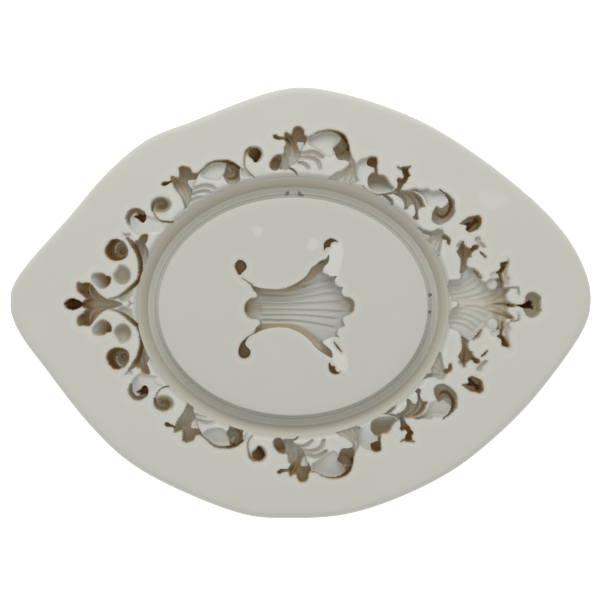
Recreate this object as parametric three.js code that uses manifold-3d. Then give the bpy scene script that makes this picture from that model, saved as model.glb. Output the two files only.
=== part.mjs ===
// Open-faced silicone mould for resin and plaster castings, in millimetres, +Z up.
// A lens-shaped slab holds an oval frame cavity: a moulded ring channel around a plain
// oval island, scrollwork outside the ring and a fluted crest sunk in the island.
// The slab is one flexible casting. Each mesh here is one region of it.
// Origin: centre of the slab's underside. +X towards the shell end, +Y across the slab.

import * as THREE from 'three';
import { mergeVertices } from 'three/addons/utils/BufferGeometryUtils.js';
import Module from 'manifold-3d';

const wasm = await Module();
wasm.setup();

// ---------------------------------------------------------------- driving sizes

const SLAB_THICKNESS = 13;
const WEB_THICKNESS = 3; // solid back left under every cavity
const EDGE_ROUNDING = 1.5; // radius of the slab's outer rim, top and bottom

const ISLAND_HALF_LENGTH = 30.2;
const ISLAND_HALF_WIDTH = 24.4;
const CHANNEL_WIDTH = 4.9; // island wall to the ledge's wall
const CHANNEL_DEPTH = 7; // against the island wall
const CHANNEL_RISE = 2.4; // how much shallower the channel is against the ledge
const LEDGE_WIDTH = 0.8;
const LEDGE_DEPTH = 3;

// The channel's moulding from the ledge in: a cove, a thin groove and a flat band. Each
// corner is a share of the channel's width out from the island and a share of its rise.
const CHANNEL_MOULDING = [[0.8, 0.8], [0.58, 0.45], [0.52, 0.25], [0.46, 0.4], [0.2, 0.2]];

const CREST_DEPTH = 4.6; // top of the flutes
const SHELL_DEPTH = 4.6;
const PALMETTE_DEPTH = 5.5;
const FLUTE_HEIGHT = 0.5; // ribs standing on the crest and shell floors
const FLUTE_WIDTH = 0.9;

// Plain land from the ornament's furthest point to the slab's edge, on each side.
const LAND = { left: 12.1, right: 11.2, front: 8.1, back: 8.8 };

const SEAM = 0.3; // clearance between two regions that meet along a curved wall
const CUTTER_CLEARANCE = 2; // how far a cutter stands out past the face that it cuts

// ---------------------------------------------------------------- ornament drawing

// The ornament is drawn around a ring of this size and stretched to the real one.
// Points are [x, y] from the ring's centre, and depths are below the slab's top face,
// for a slab with this much material over its web.
const DRAWN_RING = { halfLength: 35.1, halfWidth: 29.3 };
const DRAWN_DEPTH_RANGE = 10;
// The lower half mirrors the upper one about this height, leaning over slightly.
const MIRROR_HEIGHT = 0.5;
const MIRROR_LEAN = 0.025;
// Furthest points of the drawn ornament.
const DRAWN_REACH = { left: -51.2, right: 55.5, front: -39.3, back: 40.3 };

// A flat floor has one depth. A sloping one has two, each with the point it is at.
const flat = (depth) => ({ depth, from: null });
const slope = (depth, from, toDepth, to) => ({ depth, from, toDepth, to });

const PAIRED_HOLLOWS = [
  {
    name: 'bowl beside the palmette',
    floor: slope(6, [-41, 6], 2.5, [-44.5, 5]),
    outline: [[-45.2, 5.8], [-44.5, 7.4], [-42.5, 7.4], [-40.7, 6.6], [-40.6, 5.2], [-42, 3.6], [-44, 4]],
  },
  {
    name: 'dimple in the left scroll',
    floor: slope(3.6, [-38.6, 9.4], 1.6, [-38, 4.8]),
    outline: [[-38.5, 9.6], [-36.8, 9], [-36, 8], [-36.2, 6], [-38, 4.8], [-39.6, 5.6], [-40.2, 7.2]],
  },
  {
    name: 'left scroll volute',
    floor: flat(6.8),
    outline: [
      [-42.1, 12.6], [-41.3, 14.4], [-39.5, 15.1], [-37.8, 14.5], [-36.9, 12.8], [-37.4, 11],
      [-39, 10.1], [-41.1, 10.6],
    ],
  },
  {
    name: 'sliver leaf',
    floor: flat(3),
    outline: [[-33.2, 9.2], [-34.4, 12], [-34.8, 14.8], [-34, 15.6], [-32.6, 15.4], [-32.3, 12.6]],
  },
  {
    name: 'small volute floor',
    floor: flat(2.4),
    outline: [
      [-37, 18.3], [-36.8, 20], [-36, 21.3], [-35, 21.6], [-33.1, 20.8], [-31.6, 20.4], [-30.6, 18.4],
      [-31.4, 16.6], [-34.6, 16], [-36.4, 16.4],
    ],
  },
  {
    name: 'small volute eye',
    floor: flat(9),
    outline: [[-35.1, 20], [-34.3, 21], [-33.2, 20.6], [-32.9, 19.3], [-33.6, 18.8], [-34.6, 19.4]],
  },
  {
    name: 'upper left volute',
    floor: flat(6.6),
    outline: [
      [-31.9, 22.6], [-31, 24], [-29.6, 24.5], [-28.2, 24.3], [-27.1, 23.2], [-27.6, 21.8],
      [-29, 21.1], [-31.3, 21.5],
    ],
  },
  {
    name: 'upper left leaf',
    floor: slope(8, [-24, 31.4], 3.6, [-22.5, 22]),
    outline: [
      [-26.7, 27.4], [-27.2, 28.9], [-25.6, 28.7], [-25.3, 31.1], [-24.2, 31.5], [-22.9, 31],
      [-22, 29.4], [-21.9, 27.2], [-18.5, 27.4], [-17, 26.3], [-17.2, 24.2], [-19, 23.4],
      [-20.6, 21.6], [-24, 21.4], [-24.3, 22.6], [-25.4, 25],
    ],
  },
  {
    name: 'upper left scroll floor',
    floor: flat(1.8),
    outline: [
      [-22, 29.8], [-20, 31], [-18, 32.2], [-15.2, 32.7], [-13, 31.9], [-11.6, 30.4], [-9.4, 29.3],
      [-9.2, 28.2], [-13.6, 26.4], [-17, 26.8], [-21.6, 27.8],
    ],
  },
  {
    name: 'upper left scroll volute',
    floor: flat(6.4),
    outline: [
      [-15.3, 31], [-15.6, 29], [-14.7, 27.3], [-13.4, 26.7], [-12.2, 27.4], [-11.8, 28.8],
      [-12, 30.4], [-12.9, 31.4], [-14.3, 31.8],
    ],
  },
  {
    name: 'round volute eye',
    floor: flat(9),
    outline: [[-10.1, 34.4], [-9, 35.5], [-7.6, 35.2], [-6.7, 33.9], [-7.2, 32.6], [-8.6, 32.2], [-9.7, 33]],
  },
  {
    name: 'leaf root pit',
    floor: slope(8, [-4.2, 33], 3, [-3.4, 30]),
    outline: [[-5.2, 31.7], [-4.2, 33.2], [-3.2, 34], [-2.2, 34.2], [-2, 31], [-3.4, 29.9], [-4.8, 30.4]],
  },
  {
    name: 'middle leaf',
    floor: slope(8, [1, 40.2], 3.6, [1, 31]),
    outline: [
      [-4.1, 38.3], [-2, 37.8], [-1.5, 38.9], [-0.3, 38.6], [0.3, 39.9], [1.4, 40.3], [2.3, 39.9],
      [2.8, 38.3], [3.1, 36.4], [4.8, 34.9], [6.9, 33.5], [6.4, 30.8], [3.7, 30.8], [-2.4, 30.7],
      [-2.3, 34.4], [-1.8, 36.6], [-3.4, 37.2],
    ],
  },
  {
    name: 'middle scroll floor',
    floor: flat(2),
    outline: [
      [2.9, 37.7], [5.4, 38.8], [7.6, 39.4], [9.6, 39.1], [11.4, 38.1], [12.4, 36.4], [12.8, 34.4],
      [13.8, 32.4], [12.2, 30.4], [6.4, 30.4], [3, 34],
    ],
  },
  {
    name: 'middle scroll volute',
    floor: flat(6.2),
    outline: [
      [9.2, 35], [9.8, 36.6], [11.2, 37.3], [12.2, 36.2], [12.6, 34.6], [12.2, 32.9], [10.4, 32.6],
      [9.4, 33.6],
    ],
  },
  {
    name: 'fan leaf',
    floor: slope(4.6, [13, 32.4], 3.2, [10, 27]),
    outline: [
      [12.4, 32], [10.6, 30.5], [8.5, 29.4], [7, 27.9], [7.4, 26.6], [10.8, 27.3], [12.9, 26.8],
      [14.3, 28.3], [14.4, 31.8], [13.6, 32.8],
    ],
  },
  {
    name: 'right scroll floor',
    floor: flat(1.8),
    outline: [
      [14.2, 32.4], [15.4, 33], [17, 32.7], [19, 29.6], [18.6, 27], [22.6, 25.6], [18.4, 24.9],
      [16.4, 26], [14.2, 27],
    ],
  },
  {
    name: 'right scroll pit',
    floor: flat(7.8),
    outline: [[16.6, 32], [16.9, 33.2], [18.3, 33.5], [18.9, 32.6], [18.8, 30.3], [17.6, 31.2]],
  },
  {
    name: 'right scroll bowl',
    floor: slope(5.6, [21, 28.4], 2, [18, 26]),
    outline: [[18.7, 30], [20.2, 29.4], [21.5, 28], [22.6, 26.7], [20.4, 26], [17.5, 26.2], [16.9, 28.2]],
  },
  {
    name: 'upper right leaf',
    floor: slope(8.2, [25, 31], 3.8, [27, 20]),
    outline: [
      [23.4, 31.3], [24.8, 30.6], [26.3, 31.1], [26, 29], [25.1, 27.6], [24.5, 26.2], [27.4, 25],
      [29.5, 22.4], [28, 21.2], [28.2, 19.4], [26.8, 19.7], [25.2, 21.4], [23.2, 24.4], [23.3, 27],
      [23, 28.4], [24.6, 29.4],
    ],
  },
  {
    name: 'upper right scroll floor',
    floor: flat(1.8),
    outline: [
      [24.8, 26.1], [27.6, 26.6], [30.6, 26.3], [33, 26], [35, 24.5], [36.3, 22.4], [36.8, 19],
      [34, 17.7], [31, 18.3], [29, 20.2], [28.4, 23.4],
    ],
  },
  {
    name: 'upper right scroll volute',
    floor: flat(6.4),
    outline: [
      [31.6, 21.4], [33.2, 22.3], [35.1, 23.8], [36, 22.2], [35.9, 20.3], [34.5, 18.7], [32.5, 18.5],
      [31.1, 19.8],
    ],
  },
  {
    name: 'small fan leaf',
    floor: slope(4.6, [34.4, 15], 3.2, [29, 15]),
    outline: [
      [28.4, 17.9], [30, 17.1], [33, 17.2], [35, 15.3], [34.9, 13.7], [33, 13.1], [32.8, 10.9],
      [31, 12.3], [29.2, 13.6], [28, 16],
    ],
  },
  {
    name: 'right small volute floor',
    floor: flat(2),
    outline: [
      [35.4, 17.5], [37.3, 18.5], [39.6, 20.1], [41.6, 20.4], [42.3, 19.3], [41.6, 17.3], [40, 15.9],
      [38, 15], [36, 15.2],
    ],
  },
  {
    name: 'right small volute eye',
    floor: flat(9),
    outline: [[38.4, 18.7], [40.1, 19.3], [41.5, 20], [41.9, 19.1], [41, 17.9], [39.6, 16.9], [38.9, 17.4]],
  },
  {
    name: 'right leaf',
    floor: slope(6.8, [42, 15], 4, [38, 8]),
    outline: [
      [41, 15.6], [42, 15.3], [43.3, 13.3], [42.2, 12], [40, 11.6], [39.1, 10], [39.5, 8.9],
      [37.3, 7.7], [37.2, 10], [36.8, 12.2], [37.5, 14.2], [38.6, 13.3], [40.2, 13.8],
    ],
  },
  {
    name: 'shell tip leaf',
    floor: flat(6.4),
    outline: [
      [45.5, 7.7], [46.6, 9.6], [48, 11.1], [48.6, 9.4], [48.1, 7.2], [48.8, 5.8], [48.7, 4.8],
      [47.1, 4.9], [46.3, 6.4],
    ],
  },
];

// The crest's own small hollows, each drawn where it lies.
const CREST_HOLLOWS = [
  {
    name: 'upper hook',
    floor: flat(7.5),
    outline: [[6.9, 12.4], [6.9, 14], [8.2, 15.2], [9.9, 14.4], [8.5, 14.2], [8.1, 13.1]],
  },
  {
    name: 'lower hook',
    floor: flat(7.5),
    outline: [[8.1, -12.6], [8, -14], [9.4, -15.2], [11, -14.5], [9.7, -14.4], [9.3, -13.2]],
  },
  {
    name: 'upper drop',
    floor: flat(7.5),
    outline: [
      [-12, 7.1], [-12.9, 8.4], [-12.8, 9.8], [-11.9, 10.4], [-10.7, 9.9], [-10.4, 8.7], [-11.2, 7.9],
    ],
  },
  {
    name: 'lower drop',
    floor: flat(7.5),
    outline: [
      [-10, -7], [-11.3, -7.9], [-12.1, -9.6], [-11.9, -11], [-10.9, -11.6], [-9.8, -11.1],
      [-9.6, -10], [-10.5, -9],
    ],
  },
];

const END_KNOB = {
  floor: slope(9.4, [52.4, 0.4], 5.5, [55.4, 0]),
  outline: [
    [50.2, 0.6], [52, 1.6], [52.3, 2.7], [53.7, 3.2], [55.1, 2.2], [55.5, 1], [55.4, -0.9], [54.5, -2],
    [53.2, -2.6], [52, -1.7], [50.2, -0.2],
  ],
};

const CREST_OUTLINE = [
  [-10.9, -0.6], [-10.3, 1.1], [-9.2, 1.9], [-7.9, 2.3], [-8.4, 3.2], [-9.2, 4.6], [-7.4, 4.1],
  [-5.1, 3.9], [-2.9, 3.9], [-0.7, 4.6], [1.6, 5.6], [3.8, 8.2], [5.6, 9.9], [7.4, 10.8], [8, 11.5],
  [7.8, 9.5], [6.7, 8], [7.8, 7.2], [9.8, 6.6], [9.4, 5.5], [10.3, 4.3], [11.1, 4.1], [10.9, 2.7],
  [12.3, 2.1], [13.3, 1.6], [13.8, 0.4], [13.5, -1.1], [12.6, -1.9], [11.4, -2.3], [11.1, -3.2],
  [11.5, -4.3], [10.2, -5], [9.8, -5.9], [10.2, -6.8], [8.4, -7], [6.7, -8], [8.2, -9.2],
  [8.7, -11.4], [7.1, -10.7], [5.1, -9.4], [3.8, -7.8], [1.6, -5.9], [-0.7, -5], [-2.9, -4.7],
  [-5.1, -4.9], [-7.4, -5.5], [-8.6, -5.9], [-8.2, -4.5], [-7.6, -3.6], [-9.3, -2.8], [-10.4, -1.9],
];

// Upper half of an outline that is closed by its own mirror image.
const SHELL_HALF_OUTLINE = [
  [35, 1.3], [34.3, 2.5], [33.5, 3.8], [34.7, 5], [35, 6], [37.2, 6.6], [38, 7.6], [39.4, 8.7],
  [41.3, 8], [42.3, 5.9], [43.6, 5.7], [43.8, 7.5], [45, 8.2], [45.9, 7.2], [46.2, 5.4], [46.8, 4.4],
  [48.8, 4], [47.9, 2.4], [49.3, 0.5],
];
const PALMETTE_HALF_OUTLINE = [
  [-51.2, 0.5], [-50.4, 1.4], [-49, 1.7], [-47.6, 1.3], [-46.2, 1.3], [-47, 2.6], [-48.3, 3.4],
  [-48.2, 5.4], [-46, 5.2], [-45, 4.8], [-43.9, 3.4], [-43, 2.1], [-41, 1.6], [-38.9, 0.5],
];

// Flutes on the floors: how many, and the middle and half spread of the fan at each end.
const CREST_RIBS = {
  count: 9,
  narrow: { x: -9, y: -0.4, spread: 3.9 },
  wide: { x: 11, y: -0.3, spread: 5.8 },
};
const SHELL_RIBS = {
  count: 9,
  narrow: { x: 35, y: 0.5, spread: 3.4 },
  wide: { x: 46, y: 0.5, spread: 4.6 },
};
const PALMETTE_RIBS = {
  count: 2,
  narrow: { x: -46, y: 0.5, spread: 0.8 },
  wide: { x: -40, y: 0.5, spread: 0.7 },
};

// The slab's own outline, drawn around the same ring: nearly straight runs, soft corners.
const DRAWN_SLAB_OUTLINE = [
  [-63.3, -0.4], [-62.6, 5], [-49.6, 20.9], [-41.5, 30.3], [-32.6, 37.6], [-22.8, 41.6], [-3.6, 48.6],
  [5, 49.1], [28.5, 41.8], [51.1, 26.4], [61.4, 15.7], [65.9, 6.8], [66.7, 1.6], [65.5, -4],
  [55, -19.2], [46.4, -28.2], [35.7, -36.7], [22.9, -43.1], [11.4, -46.6], [-1, -47.4],
  [-10.7, -46.6], [-29.1, -39.3], [-38.1, -33.7], [-46.6, -25.2], [-55.2, -14.1], [-61.4, -5.5],
];
const OUTLINE_FACETS = 96;
const OVAL_FACETS = 72;

// ---------------------------------------------------------------- sizes worked out

const TOP = SLAB_THICKNESS;
const ringHalfLength = ISLAND_HALF_LENGTH + CHANNEL_WIDTH;
const ringHalfWidth = ISLAND_HALF_WIDTH + CHANNEL_WIDTH;
const stretchX = ringHalfLength / DRAWN_RING.halfLength;
const stretchY = ringHalfWidth / DRAWN_RING.halfWidth;
const stretchDepth = (SLAB_THICKNESS - WEB_THICKNESS) / DRAWN_DEPTH_RANGE;

const slabLeft = DRAWN_REACH.left * stretchX - LAND.left;
const slabRight = DRAWN_REACH.right * stretchX + LAND.right;
const slabFront = DRAWN_REACH.front * stretchY - LAND.front;
const slabBack = DRAWN_REACH.back * stretchY + LAND.back;
const slabLength = slabRight - slabLeft;
const slabWidth = slabBack - slabFront;
// The origin is at the slab's centre, so the ring's centre lies a little off it.
const ringX = -(slabLeft + slabRight) / 2;
const ringY = -(slabFront + slabBack) / 2;

// ---------------------------------------------------------------- helpers

// A drawn point, stretched to the real ring and placed in the slab's frame.
function placed([x, y]) {
  return new THREE.Vector2(ringX + x * stretchX, ringY + y * stretchY);
}

function mirrored([x, y]) {
  return [x + MIRROR_LEAN * y, 2 * MIRROR_HEIGHT - y];
}

function depthAt(floor, [x, y]) {
  if (!floor.from) return floor.depth * stretchDepth;
  const runX = floor.to[0] - floor.from[0];
  const runY = floor.to[1] - floor.from[1];
  const along = (x - floor.from[0]) * runX + (y - floor.from[1]) * runY;
  const share = THREE.MathUtils.clamp(along / (runX * runX + runY * runY), 0, 1);
  return THREE.MathUtils.lerp(floor.depth, floor.toDepth, share) * stretchDepth;
}

function solidFrom(geometry) {
  const bare = geometry.clone();
  bare.deleteAttribute('normal');
  bare.deleteAttribute('uv');
  const merged = mergeVertices(bare, 1e-4);
  return new wasm.Manifold(new wasm.Mesh({
    numProp: 3,
    vertProperties: merged.attributes.position.array,
    triVerts: new Uint32Array(merged.index.array),
  }));
}

function geometryFrom(solid) {
  const mesh = solid.getMesh();
  const geometry = new THREE.BufferGeometry();
  geometry.setAttribute('position', new THREE.BufferAttribute(mesh.vertProperties, 3));
  geometry.setIndex(new THREE.BufferAttribute(mesh.triVerts, 1));
  geometry.computeVertexNormals();
  return geometry;
}

// An upright prism over an outline, from one height to another.
function prism(points, bottom, top) {
  const geometry = new THREE.ExtrudeGeometry(new THREE.Shape(points), {
    depth: top - bottom,
    bevelEnabled: false,
  });
  geometry.translate(0, 0, bottom);
  return geometry;
}

function ovalPoints(halfLength, halfWidth) {
  return Array.from({ length: OVAL_FACETS }, (_, i) => {
    const turn = (i / OVAL_FACETS) * 2 * Math.PI;
    return new THREE.Vector2(ringX + halfLength * Math.cos(turn), ringY + halfWidth * Math.sin(turn));
  });
}

// The outline moved inwards by a gap, corner by corner. Points run anticlockwise.
function inset(points, gap) {
  return points.map((point, i) => {
    const before = points[(i + points.length - 1) % points.length];
    const after = points[(i + 1) % points.length];
    const incoming = point.clone().sub(before).normalize();
    const outgoing = after.clone().sub(point).normalize();
    const inward = new THREE.Vector2(-incoming.y - outgoing.y, incoming.x + outgoing.x).normalize();
    const spread = Math.max(0.5, -incoming.y * inward.x + incoming.x * inward.y);
    return point.clone().addScaledVector(inward, gap / spread);
  });
}

function anticlockwise(points) {
  return THREE.ShapeUtils.isClockWise(points) ? points.slice().reverse() : points;
}

// A cutter for one hollow: upright walls, with each floor corner at its own depth.
function hollowCutter(outline, floor) {
  const corners = anticlockwise(outline.map(placed));
  const geometry = prism(corners, 0, TOP + CUTTER_CLEARANCE);
  const position = geometry.attributes.position;
  for (let i = 0; i < position.count; i += 1) {
    if (position.getZ(i) > 0) continue;
    const drawn = [
      (position.getX(i) - ringX) / stretchX,
      (position.getY(i) - ringY) / stretchY,
    ];
    position.setZ(i, TOP - depthAt(floor, drawn));
  }
  return solidFrom(geometry);
}

function mirroredFloor(floor) {
  if (!floor.from) return floor;
  return { ...floor, from: mirrored(floor.from), to: mirrored(floor.to) };
}

function closedByMirror(half) {
  // A point on the mirror line would meet its own image, so it is used once.
  const offTheLine = half.filter(([, y]) => y !== MIRROR_HEIGHT);
  const otherHalf = offTheLine.map(mirrored).reverse();
  return anticlockwise([...half, ...otherHalf].map(placed));
}

function mesh(name, solid, finish) {
  const made = new THREE.Mesh(geometryFrom(solid), new THREE.MeshStandardMaterial(finish));
  made.name = name;
  return made;
}

// ---------------------------------------------------------------- regions

// The whole lens-shaped slab with its rim rounded, before anything is cut from it.
function slabBlank() {
  const drawn = DRAWN_SLAB_OUTLINE.map(([x, y]) => new THREE.Vector3(x, y, 0));
  const curve = new THREE.CatmullRomCurve3(drawn, true, 'centripetal');
  const points = curve.getSpacedPoints(OUTLINE_FACETS).slice(0, OUTLINE_FACETS);
  const box = new THREE.Box3().setFromPoints(points);
  const size = box.getSize(new THREE.Vector3());
  const centre = box.getCenter(new THREE.Vector3());
  const fitted = points.map((point) => new THREE.Vector2(
    ((point.x - centre.x) * slabLength) / size.x,
    ((point.y - centre.y) * slabWidth) / size.y,
  ));
  const geometry = new THREE.ExtrudeGeometry(new THREE.Shape(anticlockwise(fitted)), {
    depth: SLAB_THICKNESS - 2 * EDGE_ROUNDING,
    bevelThickness: EDGE_ROUNDING,
    bevelSize: EDGE_ROUNDING,
    bevelOffset: -EDGE_ROUNDING,
    bevelSegments: 3,
  });
  geometry.translate(0, 0, EDGE_ROUNDING);
  return solidFrom(geometry);
}

// Everything between two heights, for keeping or removing a layer of the slab.
function layer(bottom, top) {
  const margin = 2 * CUTTER_CLEARANCE;
  const geometry = new THREE.BoxGeometry(slabLength + margin, slabWidth + margin, top - bottom);
  geometry.translate(0, 0, (bottom + top) / 2);
  return solidFrom(geometry);
}

// One rib along a floor, used for the flutes of the crest and the shell.
function rib(from, to, bottom, top) {
  const start = placed(from);
  const end = placed(to);
  const run = end.clone().sub(start);
  const geometry = new THREE.BoxGeometry(run.length(), FLUTE_WIDTH, top - bottom);
  geometry.rotateZ(Math.atan2(run.y, run.x));
  geometry.translate((start.x + end.x) / 2, (start.y + end.y) / 2, (bottom + top) / 2);
  return solidFrom(geometry);
}

// A bed fills the foot of a pocket up to its floor, and its ribs stand on that floor.
function bed(outline, floorDepth, ribLines) {
  const floor = TOP - floorDepth * stretchDepth;
  const footprint = inset(outline, SEAM);
  let solid = solidFrom(prism(footprint, WEB_THICKNESS, floor - FLUTE_HEIGHT));
  const ribSpace = solidFrom(prism(footprint, WEB_THICKNESS, floor));
  for (const [from, to] of ribLines) {
    const sunk = floor - 2 * FLUTE_HEIGHT;
    solid = solid.add(rib(from, to, sunk, floor).intersect(ribSpace));
  }
  return solid;
}

// A bed that runs up to the ring channel stops a seam short of it.
function clearOfChannel(solid) {
  const oval = ovalPoints(ringHalfLength + SEAM, ringHalfWidth + SEAM);
  return solid.subtract(solidFrom(prism(oval, 0, TOP + CUTTER_CLEARANCE)));
}

// Rib lines spread evenly from a narrow end to a wide one. There are at least two.
function fanOfRibs({ count, narrow, wide }) {
  return Array.from({ length: count }, (_, i) => {
    const share = (i / (count - 1)) * 2 - 1;
    return [
      [narrow.x, narrow.y + share * narrow.spread],
      [wide.x, wide.y + share * wide.spread],
    ];
  });
}

function backWeb(blank) {
  return blank.intersect(layer(0, WEB_THICKNESS));
}

function outerSurround(blank, shellOutline, palmetteOutline) {
  const above = TOP + CUTTER_CLEARANCE;
  let solid = blank.intersect(layer(WEB_THICKNESS, above));
  solid = solid.subtract(solidFrom(prism(ovalPoints(ringHalfLength, ringHalfWidth), 0, above)));
  const ledge = ovalPoints(ringHalfLength + LEDGE_WIDTH, ringHalfWidth + LEDGE_WIDTH);
  solid = solid.subtract(solidFrom(prism(ledge, TOP - LEDGE_DEPTH, above)));
  for (const pocket of [shellOutline, palmetteOutline]) {
    solid = solid.subtract(solidFrom(prism(pocket, 0, above)));
  }
  for (const hollow of PAIRED_HOLLOWS) {
    solid = solid.subtract(hollowCutter(hollow.outline, hollow.floor));
    solid = solid.subtract(hollowCutter(hollow.outline.map(mirrored), mirroredFloor(hollow.floor)));
  }
  return solid.subtract(hollowCutter(END_KNOB.outline, END_KNOB.floor));
}

// The channel's bed follows the oval, deepest at the island.
function ringChannelBed() {
  const wallSide = CHANNEL_WIDTH - SEAM;
  const risen = (share) => TOP - CHANNEL_DEPTH + share * CHANNEL_RISE;
  const moulding = CHANNEL_MOULDING.map(([out, rise]) => [out * CHANNEL_WIDTH, risen(rise)]);
  const profile = [
    [SEAM, WEB_THICKNESS],
    [wallSide, WEB_THICKNESS],
    [wallSide, risen(1)],
    ...moulding,
    [SEAM, risen(0)],
    [SEAM, WEB_THICKNESS],
  ];
  const lathePoints = profile.map(([out, z]) => new THREE.Vector2(ISLAND_HALF_LENGTH + out, z));
  const geometry = new THREE.LatheGeometry(lathePoints, OVAL_FACETS);
  geometry.rotateX(Math.PI / 2);
  // The lathe turns it round, so each circle is flattened to the oval at its distance out.
  const position = geometry.attributes.position;
  for (let i = 0; i < position.count; i += 1) {
    const radius = Math.hypot(position.getX(i), position.getY(i));
    const out = radius - ISLAND_HALF_LENGTH;
    const flatten = (ISLAND_HALF_WIDTH + out) / radius;
    position.setXY(i, ringX + position.getX(i), ringY + position.getY(i) * flatten);
  }
  return solidFrom(geometry);
}

function centreIsland(crestOutline) {
  const above = TOP + CUTTER_CLEARANCE;
  let solid = solidFrom(prism(ovalPoints(ISLAND_HALF_LENGTH, ISLAND_HALF_WIDTH), WEB_THICKNESS, TOP));
  solid = solid.subtract(solidFrom(prism(crestOutline, 0, above)));
  for (const hollow of CREST_HOLLOWS) {
    solid = solid.subtract(hollowCutter(hollow.outline, hollow.floor));
  }
  return solid;
}

// ---------------------------------------------------------------- assembly

const LAND_FINISH = { color: 0xc7c7bd, roughness: 0.5, metalness: 0 };
const CAVITY_FINISH = { color: 0x9f9a8c, roughness: 0.5, metalness: 0 };

const crestOutline = anticlockwise(CREST_OUTLINE.map(placed));
const shellOutline = closedByMirror(SHELL_HALF_OUTLINE);
const palmetteOutline = closedByMirror(PALMETTE_HALF_OUTLINE);


const blank = slabBlank();
const crestBed = bed(crestOutline, CREST_DEPTH, fanOfRibs(CREST_RIBS));
const shellBed = bed(shellOutline, SHELL_DEPTH, fanOfRibs(SHELL_RIBS));
const palmetteBed = bed(palmetteOutline, PALMETTE_DEPTH, fanOfRibs(PALMETTE_RIBS));

const mould = new THREE.Group();
mould.add(
  mesh('back_web', backWeb(blank), LAND_FINISH),
  mesh('outer_surround', outerSurround(blank, shellOutline, palmetteOutline), LAND_FINISH),
  mesh('ring_channel_bed', ringChannelBed(), CAVITY_FINISH),
  mesh('centre_island', centreIsland(crestOutline), LAND_FINISH),
  mesh('crest_bed', crestBed, CAVITY_FINISH),
  mesh('shell_bed', clearOfChannel(shellBed), CAVITY_FINISH),
  mesh('palmette_bed', palmetteBed, CAVITY_FINISH),
);

export default mould;
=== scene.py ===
"""Looks of an open silicone casting mould: a lens-shaped slab, its ring channel and its island.

The ornament is drawn once, in millimetres around the ring's centre, as a list of brushes that
cut, raise or paint shade on the top face, and every piece takes its height and its colour,
painted shade included, from them. Run as a script, it builds the pieces around the frame and adds a
studio.
"""

import math
from dataclasses import dataclass, replace

import bmesh
import bpy
import numpy as np
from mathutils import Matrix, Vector


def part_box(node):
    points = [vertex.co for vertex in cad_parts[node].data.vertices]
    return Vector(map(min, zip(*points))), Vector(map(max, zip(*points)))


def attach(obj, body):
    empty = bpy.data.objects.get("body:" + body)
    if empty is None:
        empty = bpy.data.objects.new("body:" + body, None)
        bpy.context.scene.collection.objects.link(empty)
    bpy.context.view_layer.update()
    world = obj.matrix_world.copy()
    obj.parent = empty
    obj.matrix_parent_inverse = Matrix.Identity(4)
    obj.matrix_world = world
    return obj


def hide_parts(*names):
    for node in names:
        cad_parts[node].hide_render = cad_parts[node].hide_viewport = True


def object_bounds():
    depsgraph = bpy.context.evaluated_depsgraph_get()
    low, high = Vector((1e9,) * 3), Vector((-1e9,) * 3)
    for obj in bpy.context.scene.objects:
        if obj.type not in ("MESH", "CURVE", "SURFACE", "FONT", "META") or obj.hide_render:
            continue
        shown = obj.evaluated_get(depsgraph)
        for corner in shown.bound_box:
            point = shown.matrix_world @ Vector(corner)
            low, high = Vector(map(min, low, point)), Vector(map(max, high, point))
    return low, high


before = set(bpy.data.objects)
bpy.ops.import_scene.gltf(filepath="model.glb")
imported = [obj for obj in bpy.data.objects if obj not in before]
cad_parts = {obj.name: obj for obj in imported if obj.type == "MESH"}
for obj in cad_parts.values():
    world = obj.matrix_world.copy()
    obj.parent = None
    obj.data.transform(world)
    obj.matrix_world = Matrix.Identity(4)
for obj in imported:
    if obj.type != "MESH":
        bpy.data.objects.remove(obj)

bl_info = {
    "name": "Casting Mould Builder",
    "version": (1, 0, 0),
    "blender": (4, 5, 0),
    "location": "3D View > Sidebar > Mould",
    "description": "Builds a silicone frame mould with its scrollwork relief and a studio around it",
    "category": "Add Mesh",
}

CAD_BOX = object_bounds()
MM = 0.001

# ------------------------------------------------------------------ sizes from the frame

ISLAND_LOW, ISLAND_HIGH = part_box("centre_island")
CHANNEL_LOW, CHANNEL_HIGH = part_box("ring_channel_bed")
SEAM = 0.3  # clearance between the channel's bed and the slab
RING_X = (ISLAND_LOW.x + ISLAND_HIGH.x) / 2 / MM
RING_Y = (ISLAND_LOW.y + ISLAND_HIGH.y) / 2 / MM
ISLAND_A = (ISLAND_HIGH.x - ISLAND_LOW.x) / 2 / MM
ISLAND_B = (ISLAND_HIGH.y - ISLAND_LOW.y) / 2 / MM
CHANNEL_WIDTH = (CHANNEL_HIGH.x - CHANNEL_LOW.x) / 2 / MM - ISLAND_A + SEAM
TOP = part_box("outer_surround")[1].z / MM
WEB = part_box("back_web")[1].z / MM

# ------------------------------------------------------------------ curves and distances

TINY = 1e-9  # a length that counts as none
SMALL_GAP = 1e-6  # stands in for the gap between two points in the same place


def trace(points, closed, steps=6):
    """Points along a smooth curve through the given ones, closer together than they are."""
    given = [np.array(p, float) for p in points]
    if closed:
        given = [given[-1]] + given + given[:2]
    else:
        given = [2 * given[0] - given[1]] + given + [2 * given[-1] - given[-2]]
    curve = []
    for before, start, end, after in zip(given, given[1:], given[2:], given[3:]):
        gaps = [math.sqrt(np.linalg.norm(b - a)) or SMALL_GAP
                for a, b in ((before, start), (start, end), (end, after))]
        leave = (end - start) + gaps[1] * ((start - before) / gaps[0]
                                           - (end - before) / (gaps[0] + gaps[1]))
        arrive = (end - start) + gaps[1] * ((after - end) / gaps[2]
                                            - (after - start) / (gaps[1] + gaps[2]))
        for share in np.arange(steps) / steps:
            s2, s3 = share ** 2, share ** 3
            curve.append((2 * s3 - 3 * s2 + 1) * start + (s3 - 2 * s2 + share) * leave
                         + (3 * s2 - 2 * s3) * end + (s3 - s2) * arrive)
    if not closed:
        curve.append(given[-2])
    return np.array(curve)


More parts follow.
